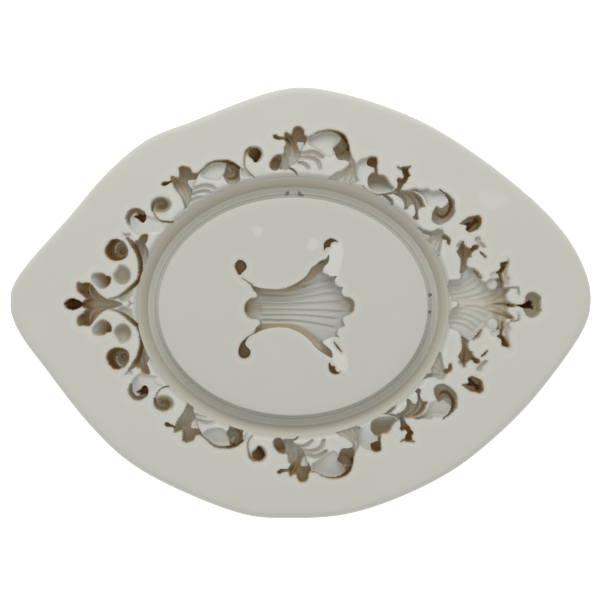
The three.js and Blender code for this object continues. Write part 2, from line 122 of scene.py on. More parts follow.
def nearest(x, y, line, closed):
    """Distance of each point from a line, and the share of the line's length at that place."""
    ends = np.vstack([line[1:], line[:1]]) if closed else line[1:]
    starts = line if closed else line[:-1]
    lengths = np.linalg.norm(ends - starts, axis=1)
    passed = np.concatenate([[0], np.cumsum(lengths)])
    best = np.full(x.shape, np.inf)
    along = np.zeros(x.shape)
    for (ax, ay), (bx, by), length, before in zip(starts, ends, lengths, passed):
        if length < TINY:
            continue
        ux, uy = (bx - ax) / length, (by - ay) / length
        run = np.clip((x - ax) * ux + (y - ay) * uy, 0, length)
        away = np.hypot(x - ax - run * ux, y - ay - run * uy)
        closer = away < best
        best[closer] = away[closer]
        along[closer] = (before + run[closer]) / passed[-1]
    return best, along


def inside(x, y, line):
    """Whether each point is inside a closed line."""
    within = np.zeros(x.shape, bool)
    for (ax, ay), (bx, by) in zip(line, np.roll(line, -1, axis=0)):
        if ay == by:
            continue
        crosses = (ay > y) != (by > y)
        within ^= crosses & (x < (bx - ax) * (y - ay) / (by - ay) + ax)
    return within


def ease(share):
    """A share from 0 to 1 with a soft start and end."""
    share = np.clip(share, 0, 1)
    return share * share * (3 - 2 * share)


def stepped(share, values):
    """Values in even stops along a share from 0 to 1."""
    return np.interp(share, np.linspace(0, 1, len(values)), values)


def spiral(centre, radius, inner, start, sweep, count=14):
    """Points of a spiral from its outer radius in to its inner one. Angles in degrees."""
    points = []
    for i in range(count):
        share = i / (count - 1)
        angle = math.radians(start + sweep * share)
        reach = radius + (inner - radius) * share
        points.append((centre[0] + reach * math.cos(angle), centre[1] + reach * math.sin(angle)))
    return points


def oval(centre, across, high, count=10):
    """Points round an oval with two half-axes."""
    turns = [2 * math.pi * i / count for i in range(count)]
    return [(centre[0] + across * math.cos(t), centre[1] + high * math.sin(t)) for t in turns]


# ------------------------------------------------------------------ the relief

DRAWN_RING = (35.1, 29.3)  # half-axes of the ring that the ornament is drawn around
STRETCH_X = (ISLAND_A + CHANNEL_WIDTH) / DRAWN_RING[0]
STRETCH_Y = (ISLAND_B + CHANNEL_WIDTH) / DRAWN_RING[1]
BRUSH_MARGIN = 2.2  # how far outside its line a cut is worked out
LAND_DEPTH = 0.4  # shallower than this, a point has the land's colour
HALO_REACH = 1.8  # how far outside a cut the land gets a painted light halo
FRINGE_REACH = 0.75  # how far outside a deep cut the land gets painted brown shade
FRINGE_HUE = 5.8  # colour depth of that painted brown shade at its strongest
FRINGE_START, FRINGE_FULL = 3.5, 6.5  # colour depths of a cut between which its painted brown shade grows


class Relief:
    """Depth and colour of a set of points on the top face, in millimetres, as brushes make them."""

    def __init__(self, x, y):
        self.x = x / STRETCH_X
        self.y = y / STRETCH_Y
        self.depth, self.hue, self.halo, self.painted_rim_shade = (np.zeros(x.shape) for _ in range(4))

    def draw(self, brushes, mirror=True):
        """Marks each brush, and its copy in the lower half where it has one."""
        for brush in brushes:
            brush.mark(self)
            if mirror and brush.both:
                mirrored(brush).mark(self)
        return self

    def near(self, points, closed, margin):
        """The points near a smooth line: which ones, the line, their distance and share along it."""
        line = trace(points, closed)
        low, high = line.min(0) - margin, line.max(0) + margin
        where = np.flatnonzero((self.x > low[0]) & (self.x < high[0])
                               & (self.y > low[1]) & (self.y < high[1]))
        return where, line, *nearest(self.x[where], self.y[where], line, closed)

    def cut(self, where, depth, hue, away, rim_hue):
        """Sinks points that are higher, and paints a light halo and a brown shade on the land at its
        distance away.
        """
        deeper = depth > self.depth[where]
        self.depth[where] = np.maximum(self.depth[where], depth)
        self.hue[where] = np.where(deeper, hue, self.hue[where])
        # painted light: a paler halo on the land round the cut
        self.halo[where] = np.maximum(self.halo[where], 1 - np.clip(away / HALO_REACH, 0, 1))
        # painted shade: a brown band on the land beside a deep cut
        strength = np.clip((rim_hue - FRINGE_START) / (FRINGE_FULL - FRINGE_START), 0, 1)
        self.painted_rim_shade[where] = np.maximum(self.painted_rim_shade[where], strength * ease(1 - away / FRINGE_REACH))

    @property
    def sunk(self):
        """Depth as the colour sees it, with a painted light halo and painted brown shade on the land round
        the cuts.
        """
        land = FRINGE_HUE * self.painted_rim_shade - self.halo * (1 - self.painted_rim_shade)
        return np.where(self.depth < LAND_DEPTH, land, self.hue)


# ------------------------------------------------------------------ the brushes

MIRROR_HEIGHT = 0.5  # height of the line that the ornament is mirrored over
MIRROR_LEAN = 0.025  # how far the mirrored ornament leans for each millimetre of height
EDGE_SHADE = 1.3  # painted shade: colour depth added to a floor beside its wall
EDGE_REACH = 0.6  # how far from the wall the painted shade reaches
EDGE_START, EDGE_FULL = 1, 3  # depths of a floor between which its painted shade grows
GROOVE_ROUNDNESS = 0.6  # power of a groove's section, which is flatter below with a lower one
FLUTE_FADE = 0.1  # share of a flute over which its ends fade
FLUTE_FLOOR = 1  # a flute shows only where the floor is deeper than this


@dataclass
class Floor:
    """Depth along a line from one point to another, in even stops."""
    depths: tuple
    start: tuple = (0.0, 0.0)
    end: tuple = (1.0, 0.0)

    def at(self, x, y):
        """Depth of the floor at some points."""
        run = (self.end[0] - self.start[0], self.end[1] - self.start[1])
        length = run[0] ** 2 + run[1] ** 2
        share = ((x - self.start[0]) * run[0] + (y - self.start[1]) * run[1]) / length
        return stepped(share, self.depths)


@dataclass
class Hollow:
    """A closed outline sunk to a floor, with a wall of some width."""
    name: str
    line: list
    floor: Floor
    wall: float = 0.5
    # colour depth added beyond the real depth: painted shade when above 0, painted light when below
    tone: float = 0.0
    both: bool = True

    def mark(self, relief):
        where, line, away, _ = relief.near(self.line, True, BRUSH_MARGIN)
        x, y = relief.x[where], relief.y[where]
        within = inside(x, y, line)
        deep = self.floor.at(x, y)
        # painted shade: the floor darkens beside its wall
        edge = EDGE_SHADE * np.clip((deep - EDGE_START) / (EDGE_FULL - EDGE_START), 0, 1)
        edge *= np.clip(1 - away / EDGE_REACH, 0, 1)
        depth = deep * ease(np.where(within, away, 0) / self.wall)
        hue = np.where(within, deep + self.tone + edge, 0)
        relief.cut(where, depth, hue, np.where(within, 0, away), deep + self.tone)


@dataclass
class Lobe:
    """A closed outline raised back to a depth, with a rounded shoulder."""
    name: str
    line: list
    depth: float
    shoulder: float = 0.6
    both: bool = True

    def mark(self, relief):
        where, line, away, _ = relief.near(self.line, True, 0)
        within = inside(relief.x[where], relief.y[where], line)
        share = ease(np.where(within, away, 0) / self.shoulder)
        for held in (relief.depth, relief.hue):
            held[where] += (np.minimum(held[where], self.depth) - held[where]) * share


@dataclass
class Groove:
    """A channel along a line. Widths and depths run in even stops along it."""
    name: str
    line: list
    widths: tuple
    depths: tuple
    # colour depth added beyond the real depth: painted shade when above 0, painted light when below
    tone: float = 0.0
    both: bool = True

    def mark(self, relief):
        where, _, away, along = relief.near(self.line, False, BRUSH_MARGIN)
        half = stepped(along, self.widths) / 2
        deep = stepped(along, self.depths)
        section = np.clip(1 - (away / half) ** 2, 0, 1) ** GROOVE_ROUNDNESS
        hue = np.where(section > 0, deep + self.tone, 0)
        relief.cut(where, deep * section, hue, np.maximum(away - half, 0), deep + self.tone)


@dataclass
class Flute:
    """A soft trough pressed into a floor that is sunk already, with painted shade in it that fades
    sideways.
    """
    name: str
    line: list
    width: float = 1.1
    depth: float = 0.4
    # colour depth added in the trough: painted shade
    tone: float = 1.8
    both: bool = True

    def mark(self, relief):
        where, _, away, along = relief.near(self.line, False, self.width)
        press = ease(1 - 2 * away / self.width) * ease(np.minimum(along, 1 - along) / FLUTE_FADE)
        press *= relief.depth[where] > FLUTE_FLOOR
        relief.depth[where] += self.depth * press
        relief.hue[where] += self.tone * press


@dataclass
class Gleam:
    """A pale streak on the land beside the cuts."""
    name: str
    line: list
    width: float
    strength: float = 1.0
    both: bool = True

    def mark(self, relief):
        where, _, away, _ = relief.near(self.line, False, self.width)
        pale = self.strength * ease(2 - 2 * away / self.width)
        relief.halo[where] = np.maximum(relief.halo[where], pale)


def mirror_point(point):
    """The place of a point in the lower half of the ornament."""
    return (point[0] + MIRROR_LEAN * point[1], 2 * MIRROR_HEIGHT - point[1])


def mirrored(brush):
    """The same brush in the lower half of the ornament."""
    changes = {"line": [mirror_point(point) for point in brush.line]}
    if isinstance(brush, Hollow):
        floor = brush.floor
        changes["floor"] = Floor(floor.depths, mirror_point(floor.start), mirror_point(floor.end))
    return replace(brush, **changes)


def flutes(name, width, depth, tone, *lines):
    """Like flutes side by side."""
    return [Flute(name, line, width, depth, tone) for line in lines]


# ------------------------------------------------------------------ the ornament

RELIEF = [
    # ---- left palmette and the C scroll above it
    Hollow("left scroll shade", [
        (-39.4, 1.6), (-38, 2.8), (-36.6, 3.9), (-35.6, 4.6), (-35.4, 3.2), (-36, 1.6), (-37, 0.8),
        (-38.6, 0.8)], Floor((2.2, 1.4, 0.3), (-38.6, 3), (-36, 1)), wall=1.1, tone=3.4),
    Groove("left scroll rim", [
        (-37.1, 15.3), (-36, 14.2), (-35.1, 12.9), (-34.4, 11), (-34.1, 9.3), (-34.2, 7.3),
        (-34.8, 5.6), (-36.3, 4.1), (-37.8, 2.9), (-39.4, 2), (-41, 1.7)],
        (0.5, 1.2, 0.9, 0.9, 0.9, 0.8, 0.8, 0.6, 0.5), (1.4, 5.6, 6.2, 6, 6, 6, 4, 1.4, 0.7),
        tone=2.4),
    Hollow("palmette", [
        (-47.3, 0.5), (-47, 1.1), (-46, 1.8), (-46, 2.6), (-45.6, 4), (-45.2, 5.1), (-44.4, 4.1),
        (-43.3, 2.8), (-41.8, 1.8), (-40.2, 1.5), (-38.6, 0.9), (-38, 0.5), (-38.6, 0.1),
        (-40.2, -0.5), (-41.8, -0.8), (-43.3, -1.8), (-44.4, -3.1), (-45.2, -4.1), (-45.6, -3),
        (-46, -1.6), (-46, -0.8), (-47, -0.1)],
        Floor((7.4, 6, 5.3, 4.6, 2.4), (-47.4, 0.5), (-38, 0.5)), both=False, wall=0.35, tone=0.5),
    Flute("palmette rib", [(-47.6, 1.4), (-44.6, 1.4), (-42.6, 1.2), (-39.4, 0.9)], 0.9, 0.3, 1),
    Flute("palmette petal fold", [(-45.9, 5), (-45.2, 3.4), (-43.8, 2.2), (-41.6, 1.6)], 1, 0.3, 1.2),
    Hollow("palmette knob", [
        (-51.1, 0.6), (-50.6, 1.4), (-49.4, 1.8), (-48.2, 1.5), (-47.3, 1), (-47, 0.5),
        (-47.3, 0), (-48.2, -0.5), (-49.4, -0.8), (-50.6, -0.3)],
        Floor((8.2, 9.8, 9.8, 8.6), (-51.2, 0.5), (-47, 0.5)), both=False, wall=0.35),
    Hollow("palmette side lobe", [
        (-46.2, 1.7), (-47.2, 2.6), (-48.2, 3.4), (-48.4, 4.6), (-48.1, 5.5), (-47.2, 5.2),
        (-46.2, 5.4), (-45.3, 5.2), (-45.6, 3.4), (-45.4, 2.2)],
        Floor((5.6, 8, 7.4, 5.6), (-48.6, 4.2), (-44.8, 3.2)), wall=0.45),
    Lobe("palmette petal", [
        (-46.2, 4.9), (-45.7, 4.9), (-45.4, 3.6), (-44.7, 2.4), (-44.4, 1.8), (-45.4, 1.8), (-46.2, 3)],
        5, shoulder=0.4),
    Hollow("bowl beside the palmette", [
        (-45.2, 6.9), (-44.6, 7.5), (-43.4, 7.6), (-42.4, 7.4), (-41.7, 6.9), (-41.3, 6.8),
        (-40.7, 6.6), (-40.7, 5.6), (-41.2, 4.6), (-42.7, 3.8), (-44.1, 4.6), (-45.1, 5.8)],
        Floor((6, 3.6, 1.6, 0.7), (-41.4, 6.3), (-45.2, 5)), wall=0.6, tone=2.5),
    Hollow("dimple", [
        (-38.9, 9.5), (-37.8, 9.4), (-36.6, 8.5), (-36.1, 7.2), (-36.4, 5.8), (-37.3, 4.9),
        (-38.4, 4.7), (-39.7, 5.4), (-40.4, 6.9), (-39.6, 8.4)],
        Floor((2.2, 3, 3.8, 4), (-39.2, 9.4), (-37, 4.8)), wall=1.1, tone=1.4),
    Hollow("left volute", [
        (-40.7, 14.9), (-41.6, 13.8), (-42.1, 12.5), (-41.6, 11.1), (-40.2, 10.2), (-38.3, 10.3),
        (-37.1, 11.1), (-36.8, 12.4), (-37.2, 13.6), (-38, 14.6), (-39.2, 15.1)],
        Floor((7.2, 6.8, 5.8), (-41.8, 13), (-37, 11.6)), wall=0.6),
    Flute("left volute dark ring", [
        (-38.4, 15.4), (-39.8, 15), (-41, 13.8), (-41.2, 12.2), (-40.4, 11), (-38.8, 10.6),
        (-37.2, 11.6)], 2),
    Lobe("left volute ridge", [
        (-38.6, 14.8), (-39.4, 14.7), (-40.2, 13.8), (-40.4, 12.6), (-40, 11.6), (-39.4, 12),
        (-39.4, 13), (-38.9, 13.8), (-38, 14)], 3, shoulder=0.35),
    Groove("left volute eye", spiral((-38.6, 12.4), 1.0, 0.2, 150, -420),
           (0.55, 0.7, 0.7), (7.2, 8, 8.4)),
    Hollow("left scroll tip", [
        (-38.4, 16.7), (-37.4, 16.4), (-36.3, 16.5), (-36.2, 15.5), (-36.9, 15.2), (-37.6, 15.4)],
        Floor((0.9, 0.7), (-38, 16.5), (-36.6, 15.5)), wall=0.5, tone=4),
    Hollow("sliver leaf", [
        (-33.2, 9.2), (-34, 9.4), (-34.3, 11), (-34.8, 12.8), (-35.3, 14.6), (-34.6, 14.9),
        (-33.9, 15.9), (-32.5, 16.1), (-32.6, 14.7), (-33, 13.8), (-32.5, 12.8), (-32.3, 11.6),
        (-32.6, 10.2)], Floor((6.8, 5, 4.4, 3.8), (-33.2, 16), (-33.2, 9.4)), wall=0.3),
    Groove("sliver leaf vein", [(-33.4, 14.8), (-33.9, 12.8), (-33.6, 10.6)],
           (0.4, 0.35, 0.2), (6.6, 5.6, 4.6)),
    Groove("left mark stem", [(-36.5, 0.6), (-35.1, 0.6)], (0.35, 0.3), (0.5, 0.5), tone=5.4, both=False),
    Groove("left mark head", [(-36.7, 1.2), (-36.4, 0.6), (-36.7, 0.1)], (0.35, 0.4, 0.35),
           (0.5, 0.6, 0.5), tone=5.4, both=False),
    Groove("left hook mark", [(-36.2, -0.7), (-36.2, -1.2), (-36.6, -1.6)], (0.3, 0.35, 0.3),
           (0.5, 0.5, 0.5), tone=5.2, both=False),
    # ---- small volute and the round one above it
    Hollow("small volute floor", [
        (-36.8, 18.2), (-37, 20), (-36, 21.4), (-34.7, 21.7), (-33.1, 20.8), (-32.2, 20.4),
        (-30.6, 19.9), (-28.6, 18.6), (-28.2, 17.2), (-29.4, 16.2), (-31.4, 16.2), (-33.4, 16),
        (-34.4, 15.6), (-35.6, 16.4), (-36.2, 17)],
        Floor((2.4, 1.1, 0.8, 0.6), (-36.4, 20.8), (-29, 17)), wall=0.8, tone=1),
    Lobe("small block", [(-31.4, 18), (-29.6, 18.8), (-28.2, 18), (-28.4, 16.6), (-31, 16.6)], 0.5,
         shoulder=0.3),
    Groove("small volute arch", [(-36.7, 18.4), (-36.9, 20), (-36, 21.3), (-34.8, 21.5), (-33.4, 20.9)],
           (0.5, 0.9, 1, 0.9, 0.6), (2, 4.4, 5, 5, 4), tone=1.8),
    Hollow("small volute eye", [
        (-35.8, 20.1), (-35.1, 20.5), (-34.6, 21.1), (-34, 20.7), (-33, 20.7), (-33, 19.2),
        (-33.5, 18.7), (-34.1, 18.9), (-34.7, 19.6)], Floor((9.2,)), wall=0.2),
    Hollow("round volute", [
        (-31.6, 22), (-31.9, 23.2), (-31.2, 24.2), (-29.4, 24.6), (-27.6, 24.2), (-26.7, 23),
        (-27, 21.8), (-28.4, 20.8), (-30, 20.8), (-31, 21.1)],
        Floor((3.2, 5.2, 4.2, 0.8), (-31.8, 23), (-26.7, 22.4)), wall=1.5, tone=1.4),
    Groove("round volute core", [(-31.4, 21.4), (-31.4, 22.8), (-30.5, 23.8), (-29.2, 23.8), (-28.7, 23),
                                  (-29.2, 22.4), (-29.9, 22.5)],
           (0.3, 0.5, 0.7, 0.9, 1.2, 1.4, 1.3), (3, 5, 5.8, 6.4, 7, 7.4, 7.2)),
    Groove("round lobe rim", [
        (-31.2, 21.2), (-30.7, 20.2), (-29.7, 19.2), (-28, 18.9), (-26.4, 19), (-25.1, 19.8),
        (-24.3, 20.9)], (0.35, 0.35, 0.4, 0.45, 0.45, 0.3), (0.6, 0.8, 1.6, 2, 1.8, 0.8), tone=5),
    # ---- upper left leaf
    Hollow("upper left leaf", [
        (-27.3, 28.6), (-27.2, 29.2), (-26.5, 29), (-25.6, 28.9), (-25.4, 30), (-25.5, 30.9),
        (-25, 31.4), (-24.1, 31.3), (-23.1, 31), (-22.4, 29.9), (-21.6, 29.8), (-20.9, 29.9),
        (-21.3, 29), (-21.8, 28), (-22, 27), (-22.3, 26), (-22.8, 24.4), (-23, 23.2), (-23.7, 22.3),
        (-24, 21.3), (-24.2, 22), (-24.6, 23.4), (-25.3, 24.8), (-26.1, 25.8), (-26.8, 27)],
        Floor((6.8, 5.6, 4.4, 3.8, 3.4), (-25.6, 31), (-23.6, 21.6)), wall=0.3),
    Hollow("upper left leaf bud", [
        (-29.4, 27.3), (-29, 27.8), (-28.3, 27.9), (-27.7, 27.9), (-27.1, 28.4), (-27.2, 27.8),
        (-28, 27.3), (-28.8, 26.9)], Floor((7.4,)), wall=0.25, tone=0.6),
    Lobe("upper left leaf wedge", [
        (-23.9, 28), (-23.5, 28.5), (-22.8, 28.6), (-21.6, 28.6), (-21.7, 27.2), (-22.3, 25.8),
        (-23.3, 26.6)], 1.4, shoulder=0.25),
    Flute("upper left leaf vein", [
        (-26.9, 28.6), (-25.4, 27.6), (-24.5, 26), (-23.8, 24), (-23.7, 22.2)]),
    Flute("upper left leaf second vein", [(-25.2, 28.4), (-24.2, 27), (-23.5, 25.4), (-23.2, 24)]),
    Groove("upper left frond 1", [
        (-22.2, 26.2), (-20.8, 26.8), (-19.4, 27), (-18.2, 26.8), (-17.4, 26.3)],
        (0.7, 0.9, 1.0, 1.0, 0.8), (0.9, 0.9, 0.9, 0.9, 0.8), tone=3.4),
    Groove("upper left frond 2", [
        (-22.6, 25), (-21, 25.6), (-19.4, 25.8), (-18.2, 25.3), (-17.3, 24.3)],
        (0.7, 0.7, 0.8, 0.7, 0.5), (0.9, 0.9, 0.9, 0.9, 0.8), tone=3.4),
    Groove("upper left frond 3", [(-22.8, 23.6), (-21.6, 24.2), (-20.2, 24.3), (-19.2, 23.6)],
           (0.8, 0.9, 0.8, 0.4), (0.9, 0.9, 0.9, 0.9, 0.8), tone=3.4),
    Groove("upper left frond 4", [(-24, 21.8), (-22.6, 21.9), (-21.4, 21.6), (-20.2, 20.6)],
           (0.8, 0.7, 0.5, 0.3), (0.9, 0.8, 0.8, 0.7), tone=3.6),
    # ---- scroll and volute left of the middle
    Hollow("upper left scroll floor", [
        (-21, 29.9), (-19.9, 30.9), (-18.8, 31.9), (-17.6, 32.4), (-16, 32.5), (-14.6, 32.4),
        (-14.4, 30.4), (-15.4, 29), (-16.4, 28), (-18.6, 28), (-20.4, 28.6)],
        Floor((2.4, 2.1, 1.5, 0.7), (-17.6, 32.6), (-17.2, 28)), wall=0.8, tone=2),
    Groove("upper left scroll rim", [
        (-21.2, 29.8), (-19.9, 30.9), (-18.8, 31.9), (-17.6, 32.4), (-16.2, 32.5), (-14.8, 32.4),
        (-13.6, 31.9), (-12.6, 31.3), (-12, 31)], (0.4, 0.35, 0.45, 0.45, 0.45, 0.7, 0.9, 0.5),
        (1, 1.2, 1.6, 2, 2.6, 4.4, 5.8, 5), tone=4.4),
    Hollow("upper left volute", [
        (-14.9, 32.2), (-15.1, 31.2), (-15.3, 30.3), (-15.7, 29.2), (-15.2, 28.5), (-14.8, 27.7),
        (-14, 27.2), (-13.2, 27.2), (-12.3, 27.7), (-11.8, 28.4), (-11.9, 29.4), (-11.9, 30.4),
        (-12.2, 31.2), (-13.4, 31.9)], Floor((6.4, 5.4, 3), (-14, 31), (-14, 27.4)), wall=0.3),
    Groove("upper left volute groove", [
        (-13.5, 31.8), (-12.8, 30.9), (-12.6, 29.8), (-13.1, 29), (-14.2, 28.8), (-15.2, 29.2)],
        (0.7, 1.0, 1.1, 1.1, 1, 0.5), (7, 7.4, 7.6, 7.4, 6.8, 5)),
    Lobe("upper left volute core", [
        (-15, 31.8), (-14.2, 31.9), (-13.6, 31.1), (-13.4, 30.2), (-13.9, 29.8), (-14.6, 30.2),
        (-15.1, 30.6)], 4.4, shoulder=0.4),
    Hollow("wedge by the round eye", [(-11.7, 31), (-11, 31), (-10.2, 30.1), (-9, 29), (-9.8, 28.6),
                                      (-11.4, 29)], Floor((0.9,)), wall=0.5),
    # ---- round eye, its lobe and the pit beside the middle leaf
    Hollow("round eye rim", [
        (-10.5, 34.3), (-9.9, 35.4), (-8.6, 36), (-7.3, 35.6), (-6.6, 34.6), (-6.6, 33.5), (-7.2, 32.4),
        (-8.3, 31.9), (-9.4, 32.7), (-10.2, 33.4)], Floor((1.6,)), wall=0.7, tone=0.6),
    Hollow("round eye", [
        (-10.1, 34.6), (-9.4, 35.5), (-8.5, 35.7), (-7.7, 35.4), (-7.1, 34.6), (-7.1, 33.7),
        (-7.5, 33), (-8, 32.3), (-8.6, 32.2), (-9.2, 33), (-9.9, 33.6)],
        Floor((6.8, 8.2, 9.6, 8.8), (-9.8, 35), (-7.4, 33)), wall=0.5),
    Groove("round eye tail", [(-9.5, 35.5), (-10.4, 34.7), (-10.7, 33.8), (-10.9, 32.6), (-10.9, 31.4)],
           (0.5, 0.6, 0.4, 0.3, 0.3), (1.6, 1.4, 0.6, 0.5, 0.5), tone=6),
    Groove("round eye lobe rim", [
        (-10.9, 31.4), (-10.2, 30.3), (-9.3, 29.4), (-8.2, 28.6), (-6.8, 28.25), (-5.2, 28.2),
        (-4, 28.6), (-3.2, 29.3)], (0.3, 0.35, 0.35, 0.45, 0.4, 0.3), (0.5, 0.7, 0.8, 1, 1, 0.8),
        tone=5.4),
    Hollow("leaf root pit", [
        (-5.3, 31.8), (-4.9, 32.7), (-4.2, 33.5), (-3.3, 34.1), (-2.6, 34), (-2.5, 33), (-2.8, 31.6),
        (-3.3, 30.5), (-4.2, 30.2), (-5, 30.6), (-5.3, 31.2)],
        Floor((5, 7.8, 6.4, 1), (-3.2, 34.4), (-4.4, 30.2)), wall=0.4),
    # ---- middle leaf
    Hollow("middle leaf", [
        (-2, 37.9), (-1.8, 38.7), (-1.5, 39), (-0.9, 38.6), (-0.2, 38.7), (0, 39.5), (0.5, 40.1),
        (1.2, 40.3), (1.9, 40), (2.4, 39.4), (2.6, 38.4), (3.2, 37.8), (3, 37), (2.8, 36.3),
        (2.2, 35.5), (2, 34.6), (1.6, 33.4), (0.6, 32.2), (-0.4, 31.6), (-1.2, 30.8), (-2.4, 30.6),
        (-3.1, 30.8), (-2.8, 32), (-2.6, 33.8), (-2.1, 34.4), (-2, 35.6), (-1.5, 36.4), (-2, 37.2)],
        Floor((7.2, 6.6, 4.9, 4, 3.8), (1, 40.4), (-1, 31)), wall=0.3),
    Flute("middle leaf left fold", [(-1.8, 38.4), (-1, 37), (-0.8, 35), (-1, 33.4)], 1.1, 0.3, 1.6),
    Groove("middle leaf bud", [(-4, 38), (-3.4, 37.7), (-2.6, 37.6), (-1.8, 37.6)],
           (0.8, 0.7, 0.5, 0.6), (7.6, 7, 6, 6), tone=0.6),
    Lobe("middle leaf wedge", [
        (0.6, 37), (1.3, 37.1), (2.8, 36.8), (2.5, 35.7), (2.1, 34.6), (1.4, 34.5), (0.9, 35.4)], 1.8,
        shoulder=0.25),
    Flute("middle leaf vein", [(-1.8, 38.2), (-0.8, 37.2), (0, 36), (0.5, 34.6), (0.4, 33)]),
    Flute("middle leaf second vein", [(-0.8, 38.4), (0, 37.4), (0.6, 35.8), (1, 34.4)]),
    Flute("middle leaf left vein", [(-2, 34.6), (-1.5, 33.2), (-1.4, 32), (-1.7, 31)]),
    Groove("middle frond 1", [(1.2, 33.8), (2.8, 34.3), (4.4, 34.5), (5.6, 34), (6.5, 33.4)],
           (0.8, 0.9, 1, 1.1, 0.9), (1, 1, 1.1, 1.2, 1.2), tone=3.5),
    Groove("middle frond 2", [(0.8, 33), (2.6, 33.3), (4.4, 33.1), (5.6, 32.3), (6.1, 30.9)],
           (0.8, 0.9, 1, 1, 0.8), (1, 1, 1.1, 1.1, 1), tone=3.5),
    Groove("middle frond 3", [(-0.2, 32.1), (1.2, 32.2), (2.4, 31.9), (3.5, 31)],
           (0.8, 0.7, 0.9, 0.8), (1.1, 1, 1, 1), tone=3.5),
    Groove("middle leaf hem", [(-1.8, 30.8), (-0.8, 30.9), (0.2, 30.4), (0.8, 29.7), (1, 29)],
           (0.5, 0.4, 0.35, 0.25), (2.6, 2, 1.6, 1.2), tone=2.6),
    # ---- middle scroll
    Hollow("middle scroll floor", [
        (3.1, 37.8), (4.2, 38.1), (5.2, 38.7), (6.4, 39.2), (8, 39.35), (9.6, 39), (10.9, 38.3),
        (10.6, 37), (9.4, 35.6), (9.4, 34), (8.4, 33), (7, 33.6), (4.8, 35.2), (3.4, 36)],
        Floor((2.9, 2.2, 1.4, 0.7), (8, 39.2), (7.4, 33.4)), wall=0.7, tone=1.4),
    Groove("middle scroll rim", [
        (3.1, 37.75), (4.3, 38.15), (5.4, 38.8), (6.6, 39.2), (8, 39.35), (9.4, 39.1), (10.7, 38.5),
        (11.5, 37.6), (12, 36.2), (12.2, 35)], (0.35, 0.35, 0.4, 0.45, 0.5, 0.8, 0.9, 0.9),
        (0.8, 0.9, 1.2, 1.8, 3, 5, 6.2, 6.8), tone=4.2),
    Hollow("middle volute", [
        (10.9, 38.2), (10.6, 37.2), (10, 36.3), (9, 35.3), (9.4, 34.4), (9.8, 33.2), (10.4, 32.7),
        (11.4, 32.7), (12.6, 32.5), (12.9, 34), (12.4, 35.6), (12, 37), (11.4, 38)],
        Floor((5.4, 6.6, 7, 4.4), (11, 38), (11, 32.8)), wall=0.3),
    Lobe("middle volute core", [
        (10.9, 38), (11.4, 37.4), (11.5, 36.4), (11.2, 35.7), (10.5, 35.8), (10.3, 36.6)], 4.2,
        shoulder=0.4),
    Groove("middle volute groove", [
        (11.9, 36.6), (11.9, 35.4), (11.3, 34.7), (10.4, 34.7), (9.4, 35.2)],
        (0.8, 1, 1.1, 1.1, 0.5), (7.4, 7.6, 7.6, 7.2, 5.6)),
    Groove("middle volute hem", [(9.6, 34), (10.6, 33.7), (11.8, 33.7), (12.8, 33.9)],
           (0.3, 0.35, 0.3), (5.6, 5.8, 5), tone=0.8),
    # ---- fan leaf
    Hollow("fan leaf", [
        (12.8, 34.4), (13.3, 33.4), (14, 32.1), (14.1, 30.6), (14.2, 29.2), (14.6, 28), (13.7, 27.6),
        (12.9, 26.9), (12.4, 27.8), (11.8, 28.1), (10.8, 27.2), (10, 27.9), (9, 26.9), (8, 26.2),
        (7.2, 26.7), (6.9, 27.6), (7.6, 28.6), (8.6, 29.3), (9.6, 30), (10.8, 30.4), (11.8, 31.1),
        (12.5, 32), (12.2, 33)], Floor((2.8, 2.2, 1.6), (13.6, 33), (9.4, 26.6)), wall=0.4, tone=1.7),
    *flutes("fan leaf vein", 1.0, 0.35, 1.3,
            [(13.4, 31.8), (12, 30.1), (10.2, 28.8), (8.6, 27.8)],
            [(13.6, 31.6), (12.6, 29.8), (11.6, 28.4)],
            [(13.8, 31.6), (13.5, 29.6), (13, 27.8)]),
    # ---- right scroll with its pit and bowl
    Hollow("right scroll floor", [
        (14.2, 32), (15, 32.8), (16, 33.2), (17, 33.3), (18, 32.6), (18.4, 31), (18.2, 29.6),
        (17.4, 28.4), (17.4, 27), (18.4, 26.2), (17, 25.8), (15.9, 26.7), (14.9, 27.6), (14.3, 28.8),
        (14.1, 30.4)], Floor((1.8, 1.3, 0.7, 0.3), (15.4, 33.2), (16, 27)), wall=0.5, tone=2.4),
    Hollow("right scroll pit", [
        (16.7, 32.9), (17.2, 33.5), (18.2, 33.5), (18.8, 33.2), (18.9, 32.2), (18.8, 31), (18.9, 30),
        (18.3, 30.1), (18.2, 31), (17.4, 31.2), (16.7, 31.6), (16.5, 32.1)],
        Floor((6.4, 8.2, 7.2, 5.6), (16.6, 33.6), (18.8, 30.2)), wall=0.35),
    Hollow("right scroll bowl", [
        (17, 29.4), (17.8, 30), (18.7, 30.1), (19.2, 29.5), (20.1, 29.4), (20.9, 28.9), (21.5, 28),
        (22.1, 27.2), (22.7, 26.6), (22.2, 25.7), (20.4, 25.4), (18.2, 25.6), (16.9, 26.6),
        (16.6, 28.2)], Floor((6.4, 5.9, 3.8, 0.6), (19.2, 30), (19.2, 25.6)), wall=0.45, tone=0.2),
    Groove("right scroll rim", [
        (15.6, 26.9), (16.4, 26), (17.4, 25.3), (18.6, 24.95), (20, 25), (21.4, 25.2), (22.4, 25.5),
        (23, 26.2)], (0.35, 0.5, 0.55, 0.45, 0.45, 0.45), (0.8, 1.1, 1.2, 1.1, 1.1, 1.4), tone=4.9),
    Groove("right scroll frond", [(20.2, 25), (21.4, 24.2), (22.1, 23.3), (22.2, 22.5), (22, 21.9)],
           (0.4, 0.7, 0.9, 0.6, 0.3), (2.4, 2.6, 2.4, 2, 1.6), tone=2.1),
    # ---- upper right leaf
    Groove("upper right leaf horn", [(23.4, 31.2), (23.9, 30.8), (24.8, 30.9), (25.6, 31), (26.3, 31.3)],
